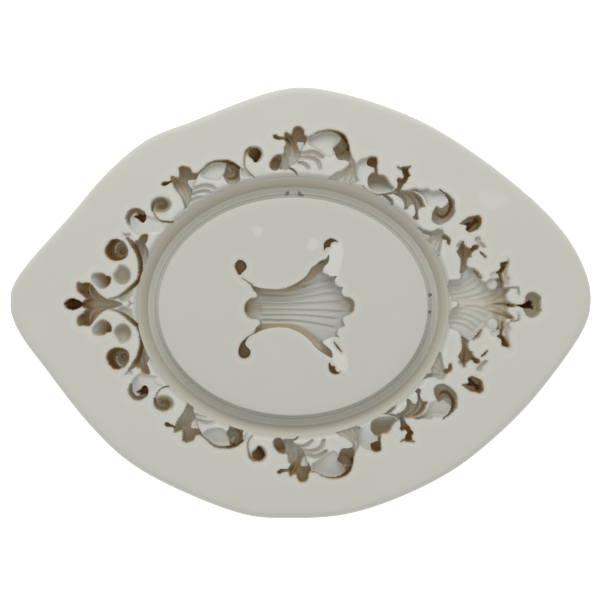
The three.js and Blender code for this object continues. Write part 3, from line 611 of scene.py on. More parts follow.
           (0.4, 0.6, 0.6, 0.5, 0.35), (0.8, 1.4, 4, 3, 1), tone=4.6),
    Hollow("upper right leaf head", [
        (24.4, 30.9), (25.2, 31), (25.8, 30.9), (25.8, 30.1), (26.2, 29.3), (25.7, 28.6), (25.3, 27.8),
        (24.7, 27.2), (24.3, 26.4), (24, 25.7), (23, 25.6), (23.3, 26.8), (23.4, 27.7), (23.2, 28.4),
        (23.7, 28.8), (24.4, 28.6), (24.8, 29.1), (24.4, 30)],
        Floor((8, 8.4, 7.4, 5.8, 4.6), (25.6, 31), (23.4, 25.6)), wall=0.3),
    Hollow("upper right leaf body", [
        (22.4, 25.2), (23.6, 25.8), (25, 26), (26.3, 25.8), (27.4, 25.2), (28.4, 24.3), (29.1, 23.2),
        (29.6, 22.3), (28.7, 22.2), (28, 21.4), (27.9, 20.5), (28.1, 19.6), (27.6, 19.3), (26.8, 19.9),
        (27.4, 20.8), (27.3, 22), (26.8, 22.8), (26, 22.5), (25.6, 21.8), (24.9, 21.6), (24.9, 22.8),
        (24.4, 23.8), (23.6, 24.5)],
        Floor((3.8, 4, 4.2), (23, 26), (28, 20.4)), wall=0.3, tone=1.2),
    Groove("upper right leaf vein 1", [(23.4, 25.3), (24.8, 24.7), (25.4, 23.6), (25.3, 22.2)],
           (0.4, 0.6, 0.5, 0.4), (4.4, 4.8, 4.6, 4.2), tone=1.4),
    Groove("upper right leaf vein 2", [(24.6, 25.6), (26.2, 24.9), (27.2, 23.6), (27.6, 22), (27.6, 20.4)],
           (0.4, 0.5, 0.5, 0.5, 0.4), (4.4, 4.8, 4.8, 4.8, 4.4), tone=1.3),
    Groove("upper right leaf vein 3", [(26.4, 25.6), (27.9, 24.6), (28.7, 23.4), (28.9, 22.5)],
           (0.4, 0.7, 0.8, 0.5), (5, 5.6, 5.8, 5), tone=1.2),
    # ---- upper right scroll and volute
    Hollow("upper right scroll floor", [
        (24.2, 25.9), (25.8, 26.2), (27.4, 26.6), (28.4, 26.3), (30.2, 26.5), (31, 25.9), (32, 26),
        (33, 26.1), (34.4, 25.2), (35.3, 24), (35, 22.6), (33.6, 22), (31.6, 21.6), (30, 22.4),
        (29, 24.4), (27.4, 25.4)], Floor((2.2, 1.9, 1.1, 0.2), (30.4, 26.6), (31.2, 21.8)), wall=0.8,
        tone=2),
    Hollow("upper right volute", [
        (32.1, 22.5), (31.5, 21.6), (31.1, 20.6), (31, 19.4), (31.6, 18.6), (32.8, 18.2), (34, 18.6),
        (35.2, 19.5), (36.1, 20.8), (36.2, 22.4), (36.1, 23.8), (35.2, 24.4), (34.6, 23.2),
        (33.8, 22.4), (33, 22)], Floor((3, 5.6, 3.2), (33.4, 24), (32.6, 18)), wall=0.35, tone=0.6),
    Groove("upper right scroll rim", [
        (32.9, 26.1), (33.8, 25.4), (34.7, 24.6), (35.3, 23.6), (35.5, 22.6), (35.2, 21.6), (34.6, 20.7)],
        (0.2, 0.35, 0.5, 0.9, 0.9, 0.9, 1), (4, 5.4, 6.4, 7.4, 7.6, 7.6, 7.4), tone=1.0),
    Groove("upper right volute groove", [
        (35, 21.2), (34.4, 20.5), (33.6, 20.2), (32.8, 20.5), (32.2, 21.2), (32.1, 22)],
        (1, 1.1, 1, 1, 0.8, 0.5), (7.4, 7.6, 7.6, 7.2, 6.4, 5.4), tone=0.4),
    Lobe("upper right volute core", [
        (32.9, 21.9), (33.8, 22.2), (34.6, 23), (34.8, 22.2), (34.4, 21.5), (33.6, 21.2), (33, 21.4)],
        4.4, shoulder=0.35),
    # ---- small fan leaf on the ledge
    Hollow("small fan leaf", [
        (28, 18), (28.7, 17.6), (29.6, 17.2), (31, 16.9), (32.2, 17.4), (33.2, 17.3), (33.8, 16.4),
        (33.6, 15.2), (33.3, 14), (33.1, 12.6), (32.8, 10.8), (32.1, 11.5), (31.5, 12.6), (30.7, 12.6),
        (30.2, 13.4), (29.4, 13.8), (29.9, 14.8), (30.5, 15.6), (29.6, 16), (27.8, 16.2)],
        Floor((3, 2.3, 1.8), (33.6, 16.6), (30, 12.6)), wall=0.4, tone=1.5),
    *flutes("small fan vein", 0.9, 0.3, 1.2,
            [(33, 16.6), (31.6, 16.4), (29.6, 16.7)],
            [(33, 16.2), (31.8, 15.2), (30.4, 14.2)],
            [(33.2, 15.8), (32.4, 14.4), (31.8, 13)],
            [(33.4, 15.4), (33, 13.8), (32.6, 12)]),
    Hollow("small fan spur", [
        (33.8, 16.2), (34.5, 15.8), (35.1, 15.3), (35.2, 14.4), (34.9, 13.6), (34.4, 14.1),
        (34.3, 14.8), (33.6, 14.9), (33.3, 15.5)], Floor((5,)), wall=0.4, tone=1.4),
    Hollow("small fan shade", [(36.4, 13.6), (37.2, 14.6), (37.8, 15), (37.6, 13.4), (37, 12.6)],
           Floor((1.2,)), wall=0.6, tone=2.6),
    # ---- right small volute and leaf
    Hollow("right small volute floor", [
        (37.2, 18.4), (38, 19.2), (39.2, 20), (40.4, 20.2), (41.6, 20.4), (42.1, 19.6), (42, 18.4),
        (41.7, 17.6), (41, 17.1), (40, 16.6), (39.2, 16.6), (38.6, 17.2), (38.8, 17.9), (38.1, 18.2)],
        Floor((3.2, 6, 6.8), (37.4, 18.2), (42, 18.6)), wall=0.35, tone=0.7),
    Hollow("right small volute eye", [
        (38.2, 18.9), (38.7, 18.5), (39, 18.1), (38.7, 17.4), (39.2, 17), (39.8, 17.2), (40.4, 17.9),
        (41.1, 18.5), (41.8, 18.8), (41.9, 19.6), (41.5, 20.1), (40.8, 20), (40.4, 19.4), (39.6, 19.1)],
        Floor((9.2,)), wall=0.3),
    Hollow("right leaf fringe", [
        (40.6, 15.4), (41.4, 15.7), (42, 15.3), (42.1, 14.6), (42.8, 14), (43.3, 13.2), (42.6, 12.9),
        (41.8, 13.4), (41.2, 14), (40.6, 14.6)], Floor((0.8, 1.1), (40.8, 14), (42.6, 15)), wall=0.4,
        tone=4.6),
    Hollow("right leaf", [
        (36.6, 12.2), (37.1, 13), (37.5, 14), (38, 14.6), (38.4, 13.8), (39, 13.2), (39.7, 13),
        (40.2, 13.6), (40.8, 13.9), (41.5, 13.4), (41.1, 12.7), (40.3, 12.3), (39.9, 11.7), (39.8, 11),
        (39.2, 10.8), (38.9, 10.1), (38.9, 9.3), (39.3, 8.6), (38.2, 7.8), (37.4, 7.4), (37.4, 8.8),
        (37.5, 10), (37.3, 11), (36.9, 11.6)],
        Floor((6.4, 6, 5, 4.2), (38.6, 14.4), (38.2, 7.6)), wall=0.35, tone=0.4),
    Hollow("right leaf pit", [
        (39.6, 12.5), (39.9, 13.1), (40.6, 13.8), (41.4, 13.4), (41, 12.8), (40.3, 12.4)],
        Floor((7.8,)), wall=0.3),
    Flute("right leaf vein", [(37.9, 13.8), (38.3, 12), (38.2, 10), (38.2, 8.4)]),
    Groove("right leaf stroke", [(41.9, 12.1), (42.6, 11.5), (43.1, 10.9)], (0.35, 0.45, 0.3),
           (1.6, 2.4, 1.4), tone=4.4),
    # ---- shell at the right end
    Hollow("shell", [
        (36.8, 0.8), (35.5, 1.3), (35, 2.7), (34.2, 3.8), (34.5, 4.8), (34.8, 5.9), (36.2, 6.1),
        (37.4, 6.4), (37.6, 7.6), (38.6, 8.6), (39.8, 8.8), (41, 8.2), (41.9, 7.1), (42.2, 5.9),
        (43.3, 5.6), (44, 6.2), (45, 6.3), (46.2, 6.4), (46.5, 5.6), (46.9, 4.6), (48.7, 4),
        (47.9, 2.9), (47.8, 1.7), (48.5, 0.9), (49.5, 0.2), (48.2, -0.1), (47.9, -1), (48.8, -2),
        (49.3, -2.7), (47.9, -2.8), (47, -3.6), (46.5, -4.6), (46.2, -5.4),
        (45, -5.3), (44, -5.2), (43.2, -4.6), (42.4, -5), (41.9, -6), (41, -7.2), (39.6, -7.8),
        (38.2, -7.6), (37.4, -6.4), (36.8, -5.6), (35, -4.9), (34.8, -4), (34.2, -3.2), (34.9, -1.8),
        (35.4, -0.6), (36.6, 0.2)],
        Floor((2.6, 2.9, 3.4, 4.1, 5.4), (34, 0.5), (48.8, 0.5)), both=False, wall=0.5, tone=0.3),
    *flutes("shell flute", 1.3, 0.4, 1.3,
            [(35, 4.8), (37, 5), (39, 5.8), (40.4, 7.2)],
            [(34.6, 3.6), (37, 3.8), (39.4, 4.6), (41.4, 6.2)],
            [(35.2, 2.4), (38, 2.8), (40.8, 3.8), (42.6, 5.2)],
            [(36, 1.6), (39.4, 1.9), (42.4, 2.8), (44, 4)],
            [(38, 1.1), (42, 1.4), (45, 2.4), (46.6, 3.8)],
            [(43, 1), (45.6, 1.5), (47.4, 2.7), (48.2, 3.6)]),
    Lobe("shell dome", oval((44.6, 5), 1.8, 1.8), 1.3, shoulder=0.7),
    Hollow("shell side dome", oval((44.9, 7), 1.1, 1), Floor((0.7,)), wall=0.6, tone=2.4),
    Groove("shell edge shadow", [(40.2, 8.4), (41.2, 7.5), (42, 6.4)], (0.4, 0.7, 0.4), (3.4, 4.6, 3.6),
           tone=2.4),
    Hollow("shell tip leaf", [
        (46.4, 9.6), (47.2, 10), (47.9, 10.4), (47.8, 11.2), (48.4, 10.7), (48.5, 9.6), (48.2, 8.2),
        (48.2, 7), (48.8, 6.2), (48.5, 5.2), (48.6, 4.4), (47.2, 4.6), (47, 6), (46.8, 7), (47, 8),
        (46.6, 8.8)], Floor((1.4, 0.9), (47.8, 11), (48.4, 4)), wall=0.7, tone=4.2),
    Groove("shell end lip", [(48.6, 4.2), (49.5, 4.2), (50.3, 4), (50.4, 3), (50.5, 2.2)],
           (0.5, 0.5, 0.6, 0.5, 0.3), (0.8, 0.8, 0.8, 0.8, 0.4), tone=4.3),
    Hollow("shell tip pit", [
        (46.4, 9.7), (47, 9.9), (48, 10.1), (47.8, 9.2), (47.3, 8.3), (46.8, 7.6), (46.1, 7.3),
        (45.3, 7.6), (45.9, 8), (46.4, 8.6)], Floor((7.6, 8.4, 6.6), (47.6, 10.2), (45.6, 7.4)),
        wall=0.3),
    Groove("shell end stem", [(46.2, 7.6), (46.4, 6.4), (46.7, 5.4), (46.9, 4.3)],
           (0.4, 0.5, 0.6, 0.5), (6.4, 6.2, 6, 5), tone=1.4),
    Groove("shell spine", [(37.6, 0.5), (40, 0.6), (44, 0.5), (47, 0.6), (49.2, 0.2)],
           (0.3, 0.35, 0.4, 1.2, 0.7), (2.9, 3.2, 3.8, 5.6, 6.4), both=False, tone=1.2),
    Groove("shell lower spine", [(40, -0.4), (44, -1), (47, -1.9), (48.9, -2.5)],
           (0.3, 0.5, 0.8, 0.7), (3.2, 4, 5.4, 6.2), both=False, tone=0.4),
    # a pale streak on the land at the upper right
    Gleam("pale land streak", [(43, 24.2), (44.4, 23.4), (46, 23.8)], 2.2, 0.7, both=False),
    # ---- round knob at the right end
    Hollow("end knob", [
        (51.8, 1.2), (52.1, 2.5), (52.8, 3.1), (53.7, 3.25), (54.6, 2.8), (55.5, 1.9), (55.3, 1),
        (55.3, 0), (55.5, -1), (54.7, -1.9), (53.5, -2.6), (52.5, -2.3), (51.9, -1.6), (51.5, -0.5)],
        Floor((4.8, 5.4), (52, 0), (55.4, 0.4)), both=False, wall=0.5, tone=0.4),
    Hollow("end knob pit", [
        (49.8, 0.3), (51.2, 0.5), (52.4, 0.9), (53.2, 1.5), (53.7, 1.4), (53.8, 0.6), (54.1, 0),
        (54, -0.6), (53, -0.5), (51.8, -0.4), (50.6, 0)],
        Floor((8.4, 9.7, 10.2, 10.2), (49.8, 0.3), (54, 0.3)), both=False, wall=0.2),
]

CREST = [
    Hollow("crest", [
        (-10.95, -0.5), (-10.5, 1), (-9.4, 1.9), (-8.1, 2.2), (-8.2, 2.9), (-8.9, 3.6),
        (-9.3, 4.8), (-8.4, 4.5), (-7.4, 4.2), (-5.1, 3.95), (-2.9, 3.95), (-0.7, 4.6), (1.6, 5.8),
        (3, 7), (4.2, 8.8), (5, 9.3), (6.2, 10.3), (7.3, 10.7), (8, 11.6), (8, 10), (7, 8.8),
        (6.7, 7.7), (7.7, 7.2), (8.3, 6.8), (9.8, 6.7), (9.4, 6), (9.5, 5.2), (10.4, 4.4),
        (11.1, 4.3), (10.9, 3.4), (11.3, 2.4), (12.4, 2.1), (13.3, 1.6), (13.8, 0.6),
        (13.6, -1), (12.7, -1.8), (11.5, -2.3), (11.1, -3), (11.6, -4.4), (10.6, -4.8),
        (10, -5.4), (9.9, -6.2), (10.3, -6.9), (9.2, -6.8), (8, -7.1), (6.7, -8), (7.6, -8.9),
        (8.6, -9.9), (8.8, -11.5), (7, -10.7), (5.2, -9.4), (3.8, -7.7), (1.8, -6.1), (-0.7, -5),
        (-2.9, -4.7), (-5.1, -4.9), (-7.2, -5.5), (-8.7, -6.1), (-8.2, -4.6), (-7.4, -3.8),
        (-7.8, -3), (-9.4, -2.8), (-10.5, -1.9)],
        Floor((4.6, 4.2, 4.1, 4.1, 4.1, 4.2, 4.6), (-10.9, 0), (13.7, 0)), wall=0.35, tone=-0.6),
    Hollow("upper drop", [(-12, 7), (-12.6, 7.9), (-13, 9), (-12.6, 10), (-11.9, 10.45), (-11, 10.1),
                          (-10.4, 9.2), (-10.5, 8.4), (-11.1, 7.8)], Floor((7.4,)), wall=0.25),
    Groove("upper drop trail", [(-11.4, 6.4), (-10.4, 5.7), (-9.2, 4.8)], (0.25, 0.3, 0.5),
           (0.4, 0.5, 0.8), tone=4.6),
    Hollow("lower drop", [(-10.2, -7), (-11.3, -7.8), (-12, -9), (-12.2, -10.2), (-11.8, -11.3),
                          (-10.9, -11.6), (-10, -11.3), (-9.5, -10.4), (-9.8, -9.5), (-10.4, -9),
                          (-10.7, -8.2)], Floor((7.4,)), wall=0.25),
    Groove("lower drop trail", [(-10.4, -7.1), (-9.6, -6.5), (-8.6, -5.9)], (0.4, 0.3, 0.4),
           (0.8, 0.5, 0.8), tone=4.6),
    Hollow("upper hook", [(7, 12.5), (6.9, 13.4), (7, 14.2), (7.7, 14.9), (8.5, 15.2), (9.4, 14.9),
                          (9.9, 14.5), (9.2, 14.5), (8.5, 14.1), (8.2, 13.3), (7.5, 13.2)],
           Floor((7.4,)), wall=0.22),
    Hollow("lower hook", [(8.1, -12.6), (8, -13.4), (8.2, -14.4), (8.9, -15), (9.8, -15.1),
                          (10.7, -14.7), (10, -14.7), (9.5, -14.2), (9.3, -13.4), (8.7, -13.3)],
           Floor((7.4,)), wall=0.22),
    Groove("lower slit", [(9.2, -8), (10, -9.1), (10.8, -10.1)], (0.2, 0.45, 0.25), (1, 1.6, 1),
           tone=5.6),
    *(Flute("crest flute", line, width, 0.4, 1.15) for width, line in (
        (1.3, [(1.4, 4.4), (5, 5.6), (8, 6.2), (9.4, 6.4)]),
        (1.2, [(-8, 2.9), (-3, 2.6), (0, 2.8), (4, 3.5), (8, 4.5), (10.4, 5)]),
        (1.0, [(-8, 1.6), (-3, 1.5), (0, 1.65), (4, 2.1), (8, 2.8), (11, 3.2)]),
        (1.0, [(-9, 0.4), (-3, 0.4), (0, 0.45), (8, 0.8), (12.4, 1.1)]),
        (1.0, [(-9, -0.9), (-3, -0.9), (0, -0.95), (8, -1.1), (12.4, -1.4)]),
        (1.0, [(-8, -2.1), (-3, -2.1), (0, -2.1), (4, -2.3), (8, -2.7), (11, -3)]),
        (1.2, [(-8, -3.3), (-3, -3.3), (0, -3.4), (4, -3.9), (8, -4.6), (10.4, -5.2)]),
    )),
    Flute("crest upper edge", [
        (-12, 6), (-8.6, 4.2), (-5, 3.6), (-2, 3.8), (1, 4.9), (3.6, 6.8), (5.4, 8.6),
        (8.6, 12)], 2.8, 0.5, 2.6),
    Flute("crest upper edge line", [(-2, 4.1), (1.4, 5.6), (3.6, 7.8), (5.4, 9.5), (7.6, 10.8)],
          1.4, 0.2, 1.6),
    Flute("crest lower edge", [
        (-11.6, -7), (-8.4, -5.4), (-5, -4.6), (-2, -4.4), (1.4, -5.4), (4.2, -7.2),
        (6.4, -9), (10, -12.4)], 2.6, 0.5, 2.8),
    Flute("crest left end", [(-10.6, -1.8), (-10.9, -0.5), (-10.2, 1.2), (-8.8, 2)], 2.4, 0.3, 2.4),
    Flute("crest left fill", [(-11.6, -0.5), (-9.6, -0.5), (-7, -0.5)], 4.2, 0.2, 1.6),
    Flute("crest right end", [(11.6, 2.2), (13.2, 1.4), (13.6, 0), (13, -1.6)], 1.6, 0.3, 2.2),
    Gleam("upper tongue", [(9.4, 14), (9.6, 12), (9.3, 10), (8.7, 7.8)], 2, 2.4),
    Gleam("lower tongue", [(7.4, -8.4), (9.2, -9.6), (10.4, -11.4), (10.8, -13.4)], 2, 2.4),
    Gleam("upper air bubble", [(-7.8, 16.7), (-7.8, 17.1)], 1.3, 1.4),
    Gleam("middle air bubble", [(4.2, 13.4), (4.4, 14), (4.6, 14.2)], 1.4, 1.4),
]

# ------------------------------------------------------------------ wrapped grids

MERGE_DISTANCE = 1e-7  # points closer than this become one, in metres
FULL_TURN = 1 - 1e-6  # from here a turn counts as back at its start
SMOOTH_ANGLE = 60  # faces that meet at less than this, in degrees, are shaded as one
OUTLINE_MARGIN = 0.01  # keeps the smoothed outline inside the frame's box
RIM_SLACK = 0.001  # how far below the web's top a corner of its rim may lie
OUTLINE_STEPS = 8  # points along each side of the smoothed outline


def wrapped_grid(name, turns, rows, place):
    """A closed mesh from a grid whose sides meet. place(turn, row) gives x, y, z and colour depth.

    turn runs 0 to 1 round the ring and row counts up from 0. x, y, z are in millimetres
    from the ring's centre on the ground.
    """
    bm = bmesh.new()
    bmesh.ops.create_grid(bm, x_segments=turns, y_segments=rows, size=0.5)
    mesh = bpy.data.meshes.new(name)
    bm.to_mesh(mesh)
    bm.free()
    flat = np.empty(len(mesh.vertices) * 3)
    mesh.vertices.foreach_get("co", flat)
    flat = flat.reshape(-1, 3)
    turn = flat[:, 0] + 0.5
    turn[turn > FULL_TURN] = 0
    row = np.rint((flat[:, 1] + 0.5) * rows).astype(int)
    x, y, z, sunk = place(turn, row)
    points = np.stack([x + RING_X, y + RING_Y, z], axis=1) * MM
    mesh.vertices.foreach_set("co", points.ravel())
    attribute = mesh.attributes.new("sunk", "FLOAT", "POINT")
    attribute.data.foreach_set("value", sunk.astype(np.float32))
    bm = bmesh.new()
    bm.from_mesh(mesh)
    bmesh.ops.remove_doubles(bm, verts=bm.verts, dist=MERGE_DISTANCE)
    bmesh.ops.dissolve_degenerate(bm, edges=bm.edges, dist=MERGE_DISTANCE)
    bmesh.ops.recalc_face_normals(bm, faces=bm.faces)
    for face in bm.faces:
        face.smooth = True
    bm.to_mesh(mesh)
    bm.free()
    mesh.set_sharp_from_angle(angle=math.radians(SMOOTH_ANGLE))
    piece = bpy.data.objects.new(name, mesh)
    bpy.context.scene.collection.objects.link(piece)
    return piece


def on_rows(rows, row):
    """The kind, the measure and the height of the row that each point is in."""
    kinds, measures, heights = zip(*rows)
    return np.array(kinds)[row], np.array(measures, float)[row], np.array(heights, float)[row]


def ellipse(turn, gap):
    """Point of the island's oval, moved outwards by a gap, at a share of a full turn."""
    angle = 2 * np.pi * turn
    cos, sin = np.cos(angle), np.sin(angle)
    length = np.hypot(ISLAND_B * cos, ISLAND_A * sin)
    return (ISLAND_A * cos + gap * ISLAND_B * cos / length,
            ISLAND_B * sin + gap * ISLAND_A * sin / length)


def frame_outline():
    """The slab's outline from the frame, as polar angle and radius round the ring's centre."""
    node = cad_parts["back_web"]
    corners = np.array([v.co for v in node.data.vertices]) / MM
    rim = corners[corners[:, 2] > WEB - RIM_SLACK][:, :2] - (RING_X, RING_Y)
    rim = np.unique(rim.round(4), axis=0)
    order = np.argsort(np.arctan2(rim[:, 1], rim[:, 0]))
    line = trace(rim[order], True, OUTLINE_STEPS)
    low, high = (np.array((corner.x, corner.y)) / MM - (RING_X, RING_Y) for corner in CAD_BOX)
    line = np.clip(line, low + OUTLINE_MARGIN, high - OUTLINE_MARGIN)
    angles = np.unwrap(np.arctan2(line[:, 1], line[:, 0]))
    radii = np.hypot(line[:, 0], line[:, 1])
    return (np.concatenate([angles - 2 * np.pi, angles, angles + 2 * np.pi]), np.tile(radii, 3))


# ------------------------------------------------------------------ shader maths


class Value:
    """A number in a shader, which takes Python arithmetic."""

    def __init__(self, finish, socket):
        self.finish = finish
        self.socket = socket

    def maths(self, operation, *values):
        """A maths node on some numbers or other values."""
        return self.finish.node("ShaderNodeMath", {"operation": operation}, dict(enumerate(values)))

    def __add__(self, other):
        return self.maths("ADD", self, other)

    def __sub__(self, other):
        return self.maths("SUBTRACT", self, other)

    def __rsub__(self, other):
        return self.maths("SUBTRACT", other, self)

    def __mul__(self, other):
        return self.maths("MULTIPLY", self, other)

    def __lt__(self, other):
        return self.maths("LESS_THAN", self, other)

    __radd__ = __add__
    __rmul__ = __mul__


class Finish:
    """A material with a Principled shader, and the one way of adding nodes to it."""

    def __init__(self, name, **constants):
        self.material = bpy.data.materials.new(name)
        self.material.use_nodes = True
        self.tree = self.material.node_tree
        self.shader = self.tree.nodes["Principled BSDF"]
        for socket, value in constants.items():
            self.shader.inputs[socket.replace("_", " ")].default_value = value

    def node(self, kind, settings=None, sockets=None, out=0):
        """Adds a node: its settings first, then the values or links of its sockets."""
        made = self.tree.nodes.new(kind)
        for name, value in (settings or {}).items():
            if name == "stops":
                self.set_stops(made.color_ramp, value)
            else:
                setattr(made, name, value)
        for name, value in (sockets or {}).items():
            if isinstance(value, Value):
                self.tree.links.new(value.socket, made.inputs[name])
            else:
                made.inputs[name].default_value = value
        return Value(self, made.outputs[out])

    def set_stops(self, ramp, stops):
        """Gives a colour ramp its stops, each a place from 0 to 1 and a colour."""
        while len(ramp.elements) < len(stops):
            ramp.elements.new(0.5)
        for element, (place, colour) in zip(ramp.elements, stops):
            element.position = place
            element.color = colour

    def ramp(self, share, stops):
        """A colour ramp over a share from 0 to 1."""
        return self.node("ShaderNodeValToRGB", {"stops": stops}, {"Fac": share}, out="Color")

    def feed(self, socket, value):
        """Links a value to a socket of the shader itself."""
        self.tree.links.new(value.socket, self.shader.inputs[socket])


def linear(red, green, blue, shade=1.0):
    """A colour given in display steps of 0 to 255, as the shader wants it."""
    steps = [channel / 255 for channel in (red, green, blue)]
    light = [s / 12.92 if s < 0.04045 else ((s + 0.055) / 1.055) ** 2.4 for s in steps]
    return tuple(shade * channel for channel in light) + (1,)


# ------------------------------------------------------------------ settings


class MouldShapeSettings(bpy.types.PropertyGroup):
    """Sizes of the casting that the frame leaves open."""
    rim_radius: bpy.props.FloatProperty(
        name="Rim Radius", description="Rounding of the slab's outer rim, above and below",
        default=1.5 * MM, subtype="DISTANCE", unit="LENGTH")
    turns: bpy.props.IntProperty(
        name="Turns", description="Mesh steps round the slab", default=1120)
    relief_rows: bpy.props.IntProperty(
        name="Relief Rows", description="Mesh steps from the ring out over the scrollwork",
        default=72)
    island_turns: bpy.props.IntProperty(
        name="Island Turns", description="Mesh steps round the island", default=760)


class MouldFinishSettings(bpy.types.PropertyGroup):
    """Look of the silicone."""
    roughness: bpy.props.FloatProperty(
        name="Roughness", description="How dull the silicone is", default=0.5, subtype="FACTOR")
    mottle: bpy.props.FloatProperty(
        name="Mottle", description="Cloudiness of the silicone, in millimetres of apparent depth",
        default=0.35)


class MouldStageSettings(bpy.types.PropertyGroup):
    """Camera, floor and light."""
    camera_height: bpy.props.FloatProperty(
        name="Camera Height", description="Camera above the slab's top face",
        default=0.62, subtype="DISTANCE", unit="LENGTH")
    view_width: bpy.props.FloatProperty(
        name="View Width", description="Width that the camera takes in at the top face",
        default=0.13402, subtype="DISTANCE", unit="LENGTH")
    key_power: bpy.props.FloatProperty(
        name="Key Power", description="Power of the softbox", default=1.25, unit="POWER")
    sky: bpy.props.FloatProperty(
        name="Sky", description="Strength of the even light from all round", default=0.8)


# ------------------------------------------------------------------ materials

DEPTH_SPAN = (-2.0, 10.5)  # the colour depths that the ramps cover
# Colour by colour depth: the silicone's own off-white on the land, then painted shade that darkens and
# browns the cavities; below, the painted glow that the cavities give off in place of the light that comes
# through the silicone to them.
SHADED_TONES = [(-2, (200, 200, 192)), (0, (187, 186, 177)), (3, (181, 182, 176)), (4, (177, 177, 169)),
         (5, (172, 167, 153)), (6, (164, 154, 134)), (7, (150, 134, 106)), (8, (124, 102, 68)),
         (9.2, (98, 70, 40)), (10.2, (58, 30, 14))]
GLOWS = [(0, (0, 0, 0)), (2, (0.014, 0.014, 0.012)), (4, (0.034, 0.032, 0.026)),
         (6, (0.07, 0.062, 0.044)), (7, (0.076, 0.059, 0.035)), (8, (0.062, 0.04, 0.018)),
         (9.2, (0.04, 0.02, 0.006)), (10.2, (0.014, 0.004, 0.001))]
REFRACTION = 1.41
CLOUD_SCALE, CLOUD_DETAIL = 70, 3  # soft clouding
GRAIN_SCALE, GRAIN_DETAIL = 900, 2  # fine grain
GRAIN_HUE = 0.25  # how far the grain varies the colour depth
GRAIN_BUMP, GRAIN_HEIGHT = 0.06, 0.2 * MM
DUST_SCALE = 34
SPECK_SIZE = 0.009  # radius of a dust speck, as a share of the distance between specks
SPECK_HUE = 3  # how much deeper in colour a speck is


def by_depth(colours):
    """Stops of a colour ramp, from colours at some colour depths."""
    low, high = DEPTH_SPAN
    return [((depth - low) / (high - low), colour) for depth, colour in colours]


def silicone(name, settings, shade=1.0, glow=1.0):
    """Off-white silicone with faint clouding and dust, painted darker and browner as it gets deeper, and
    given a painted glow in its cavities.
    """
    finish = Finish(name, Roughness=settings.roughness, IOR=REFRACTION, Emission_Strength=glow)
    place = finish.node("ShaderNodeTexCoord", out="Object")
    sunk = finish.node("ShaderNodeAttribute", {"attribute_name": "sunk"}, out="Fac")
    cloud = finish.node("ShaderNodeTexNoise", {"noise_dimensions": "3D"},
                        {"Vector": place, "Scale": CLOUD_SCALE, "Detail": CLOUD_DETAIL})
    grain = finish.node("ShaderNodeTexNoise", {"noise_dimensions": "3D"},
                        {"Vector": place, "Scale": GRAIN_SCALE, "Detail": GRAIN_DETAIL})
    dust = finish.node("ShaderNodeTexVoronoi", {"voronoi_dimensions": "2D"},
                       {"Vector": place, "Scale": DUST_SCALE}, out="Distance")
    apparent = (sunk + (dust < SPECK_SIZE) * SPECK_HUE + (cloud - 0.5) * (2 * settings.mottle)
                + (grain - 0.5) * GRAIN_HUE)
    low, high = DEPTH_SPAN
    share = (apparent - low) * (1 / (high - low))
    tones = [(depth, linear(*tone, shade)) for depth, tone in SHADED_TONES]
    lights = [(depth, light + (1,)) for depth, light in GLOWS]
    # painted shade: the base colour darkens and browns with the colour depth
    finish.feed("Base Color", finish.ramp(share, by_depth(tones)))
    # painted glow: the cavities give off light of their own
    finish.feed("Emission Color", finish.ramp(share, by_depth(lights)))
    bump = finish.node("ShaderNodeBump", None, {"Height": grain, "Strength": GRAIN_BUMP,
                                                "Distance": GRAIN_HEIGHT}, out="Normal")
    finish.feed("Normal", bump)
    return finish.material


# ------------------------------------------------------------------ the slab

LEDGE_LAP = 0.25  # how far the slab's ledge reaches in over the channel's bed
SCROLL_SHARE = 0.72  # share of the top face, from the ledge out, that has close rows
LAND_SHARES = (0.78, 0.86, 0.93)  # rows across the plain land outside the scrollwork
RIM_ARC = np.radians([0, 22, 45, 68, 90])  # steps round the rim's rounding
BASE_INSET = 12  # how far in from the outline the underside's first row lies
COVE_DEPTH, COVE_WIDTH, COVE_POWER = 1.1, 1.2, 1.5  # the rounded edge of the ledge
COVE_HUE = 3  # painted shade: colour depth gained per millimetre of the cove
COVE_LIGHTENING = 1  # painted light: how much lighter its top edge is painted, in colour depth


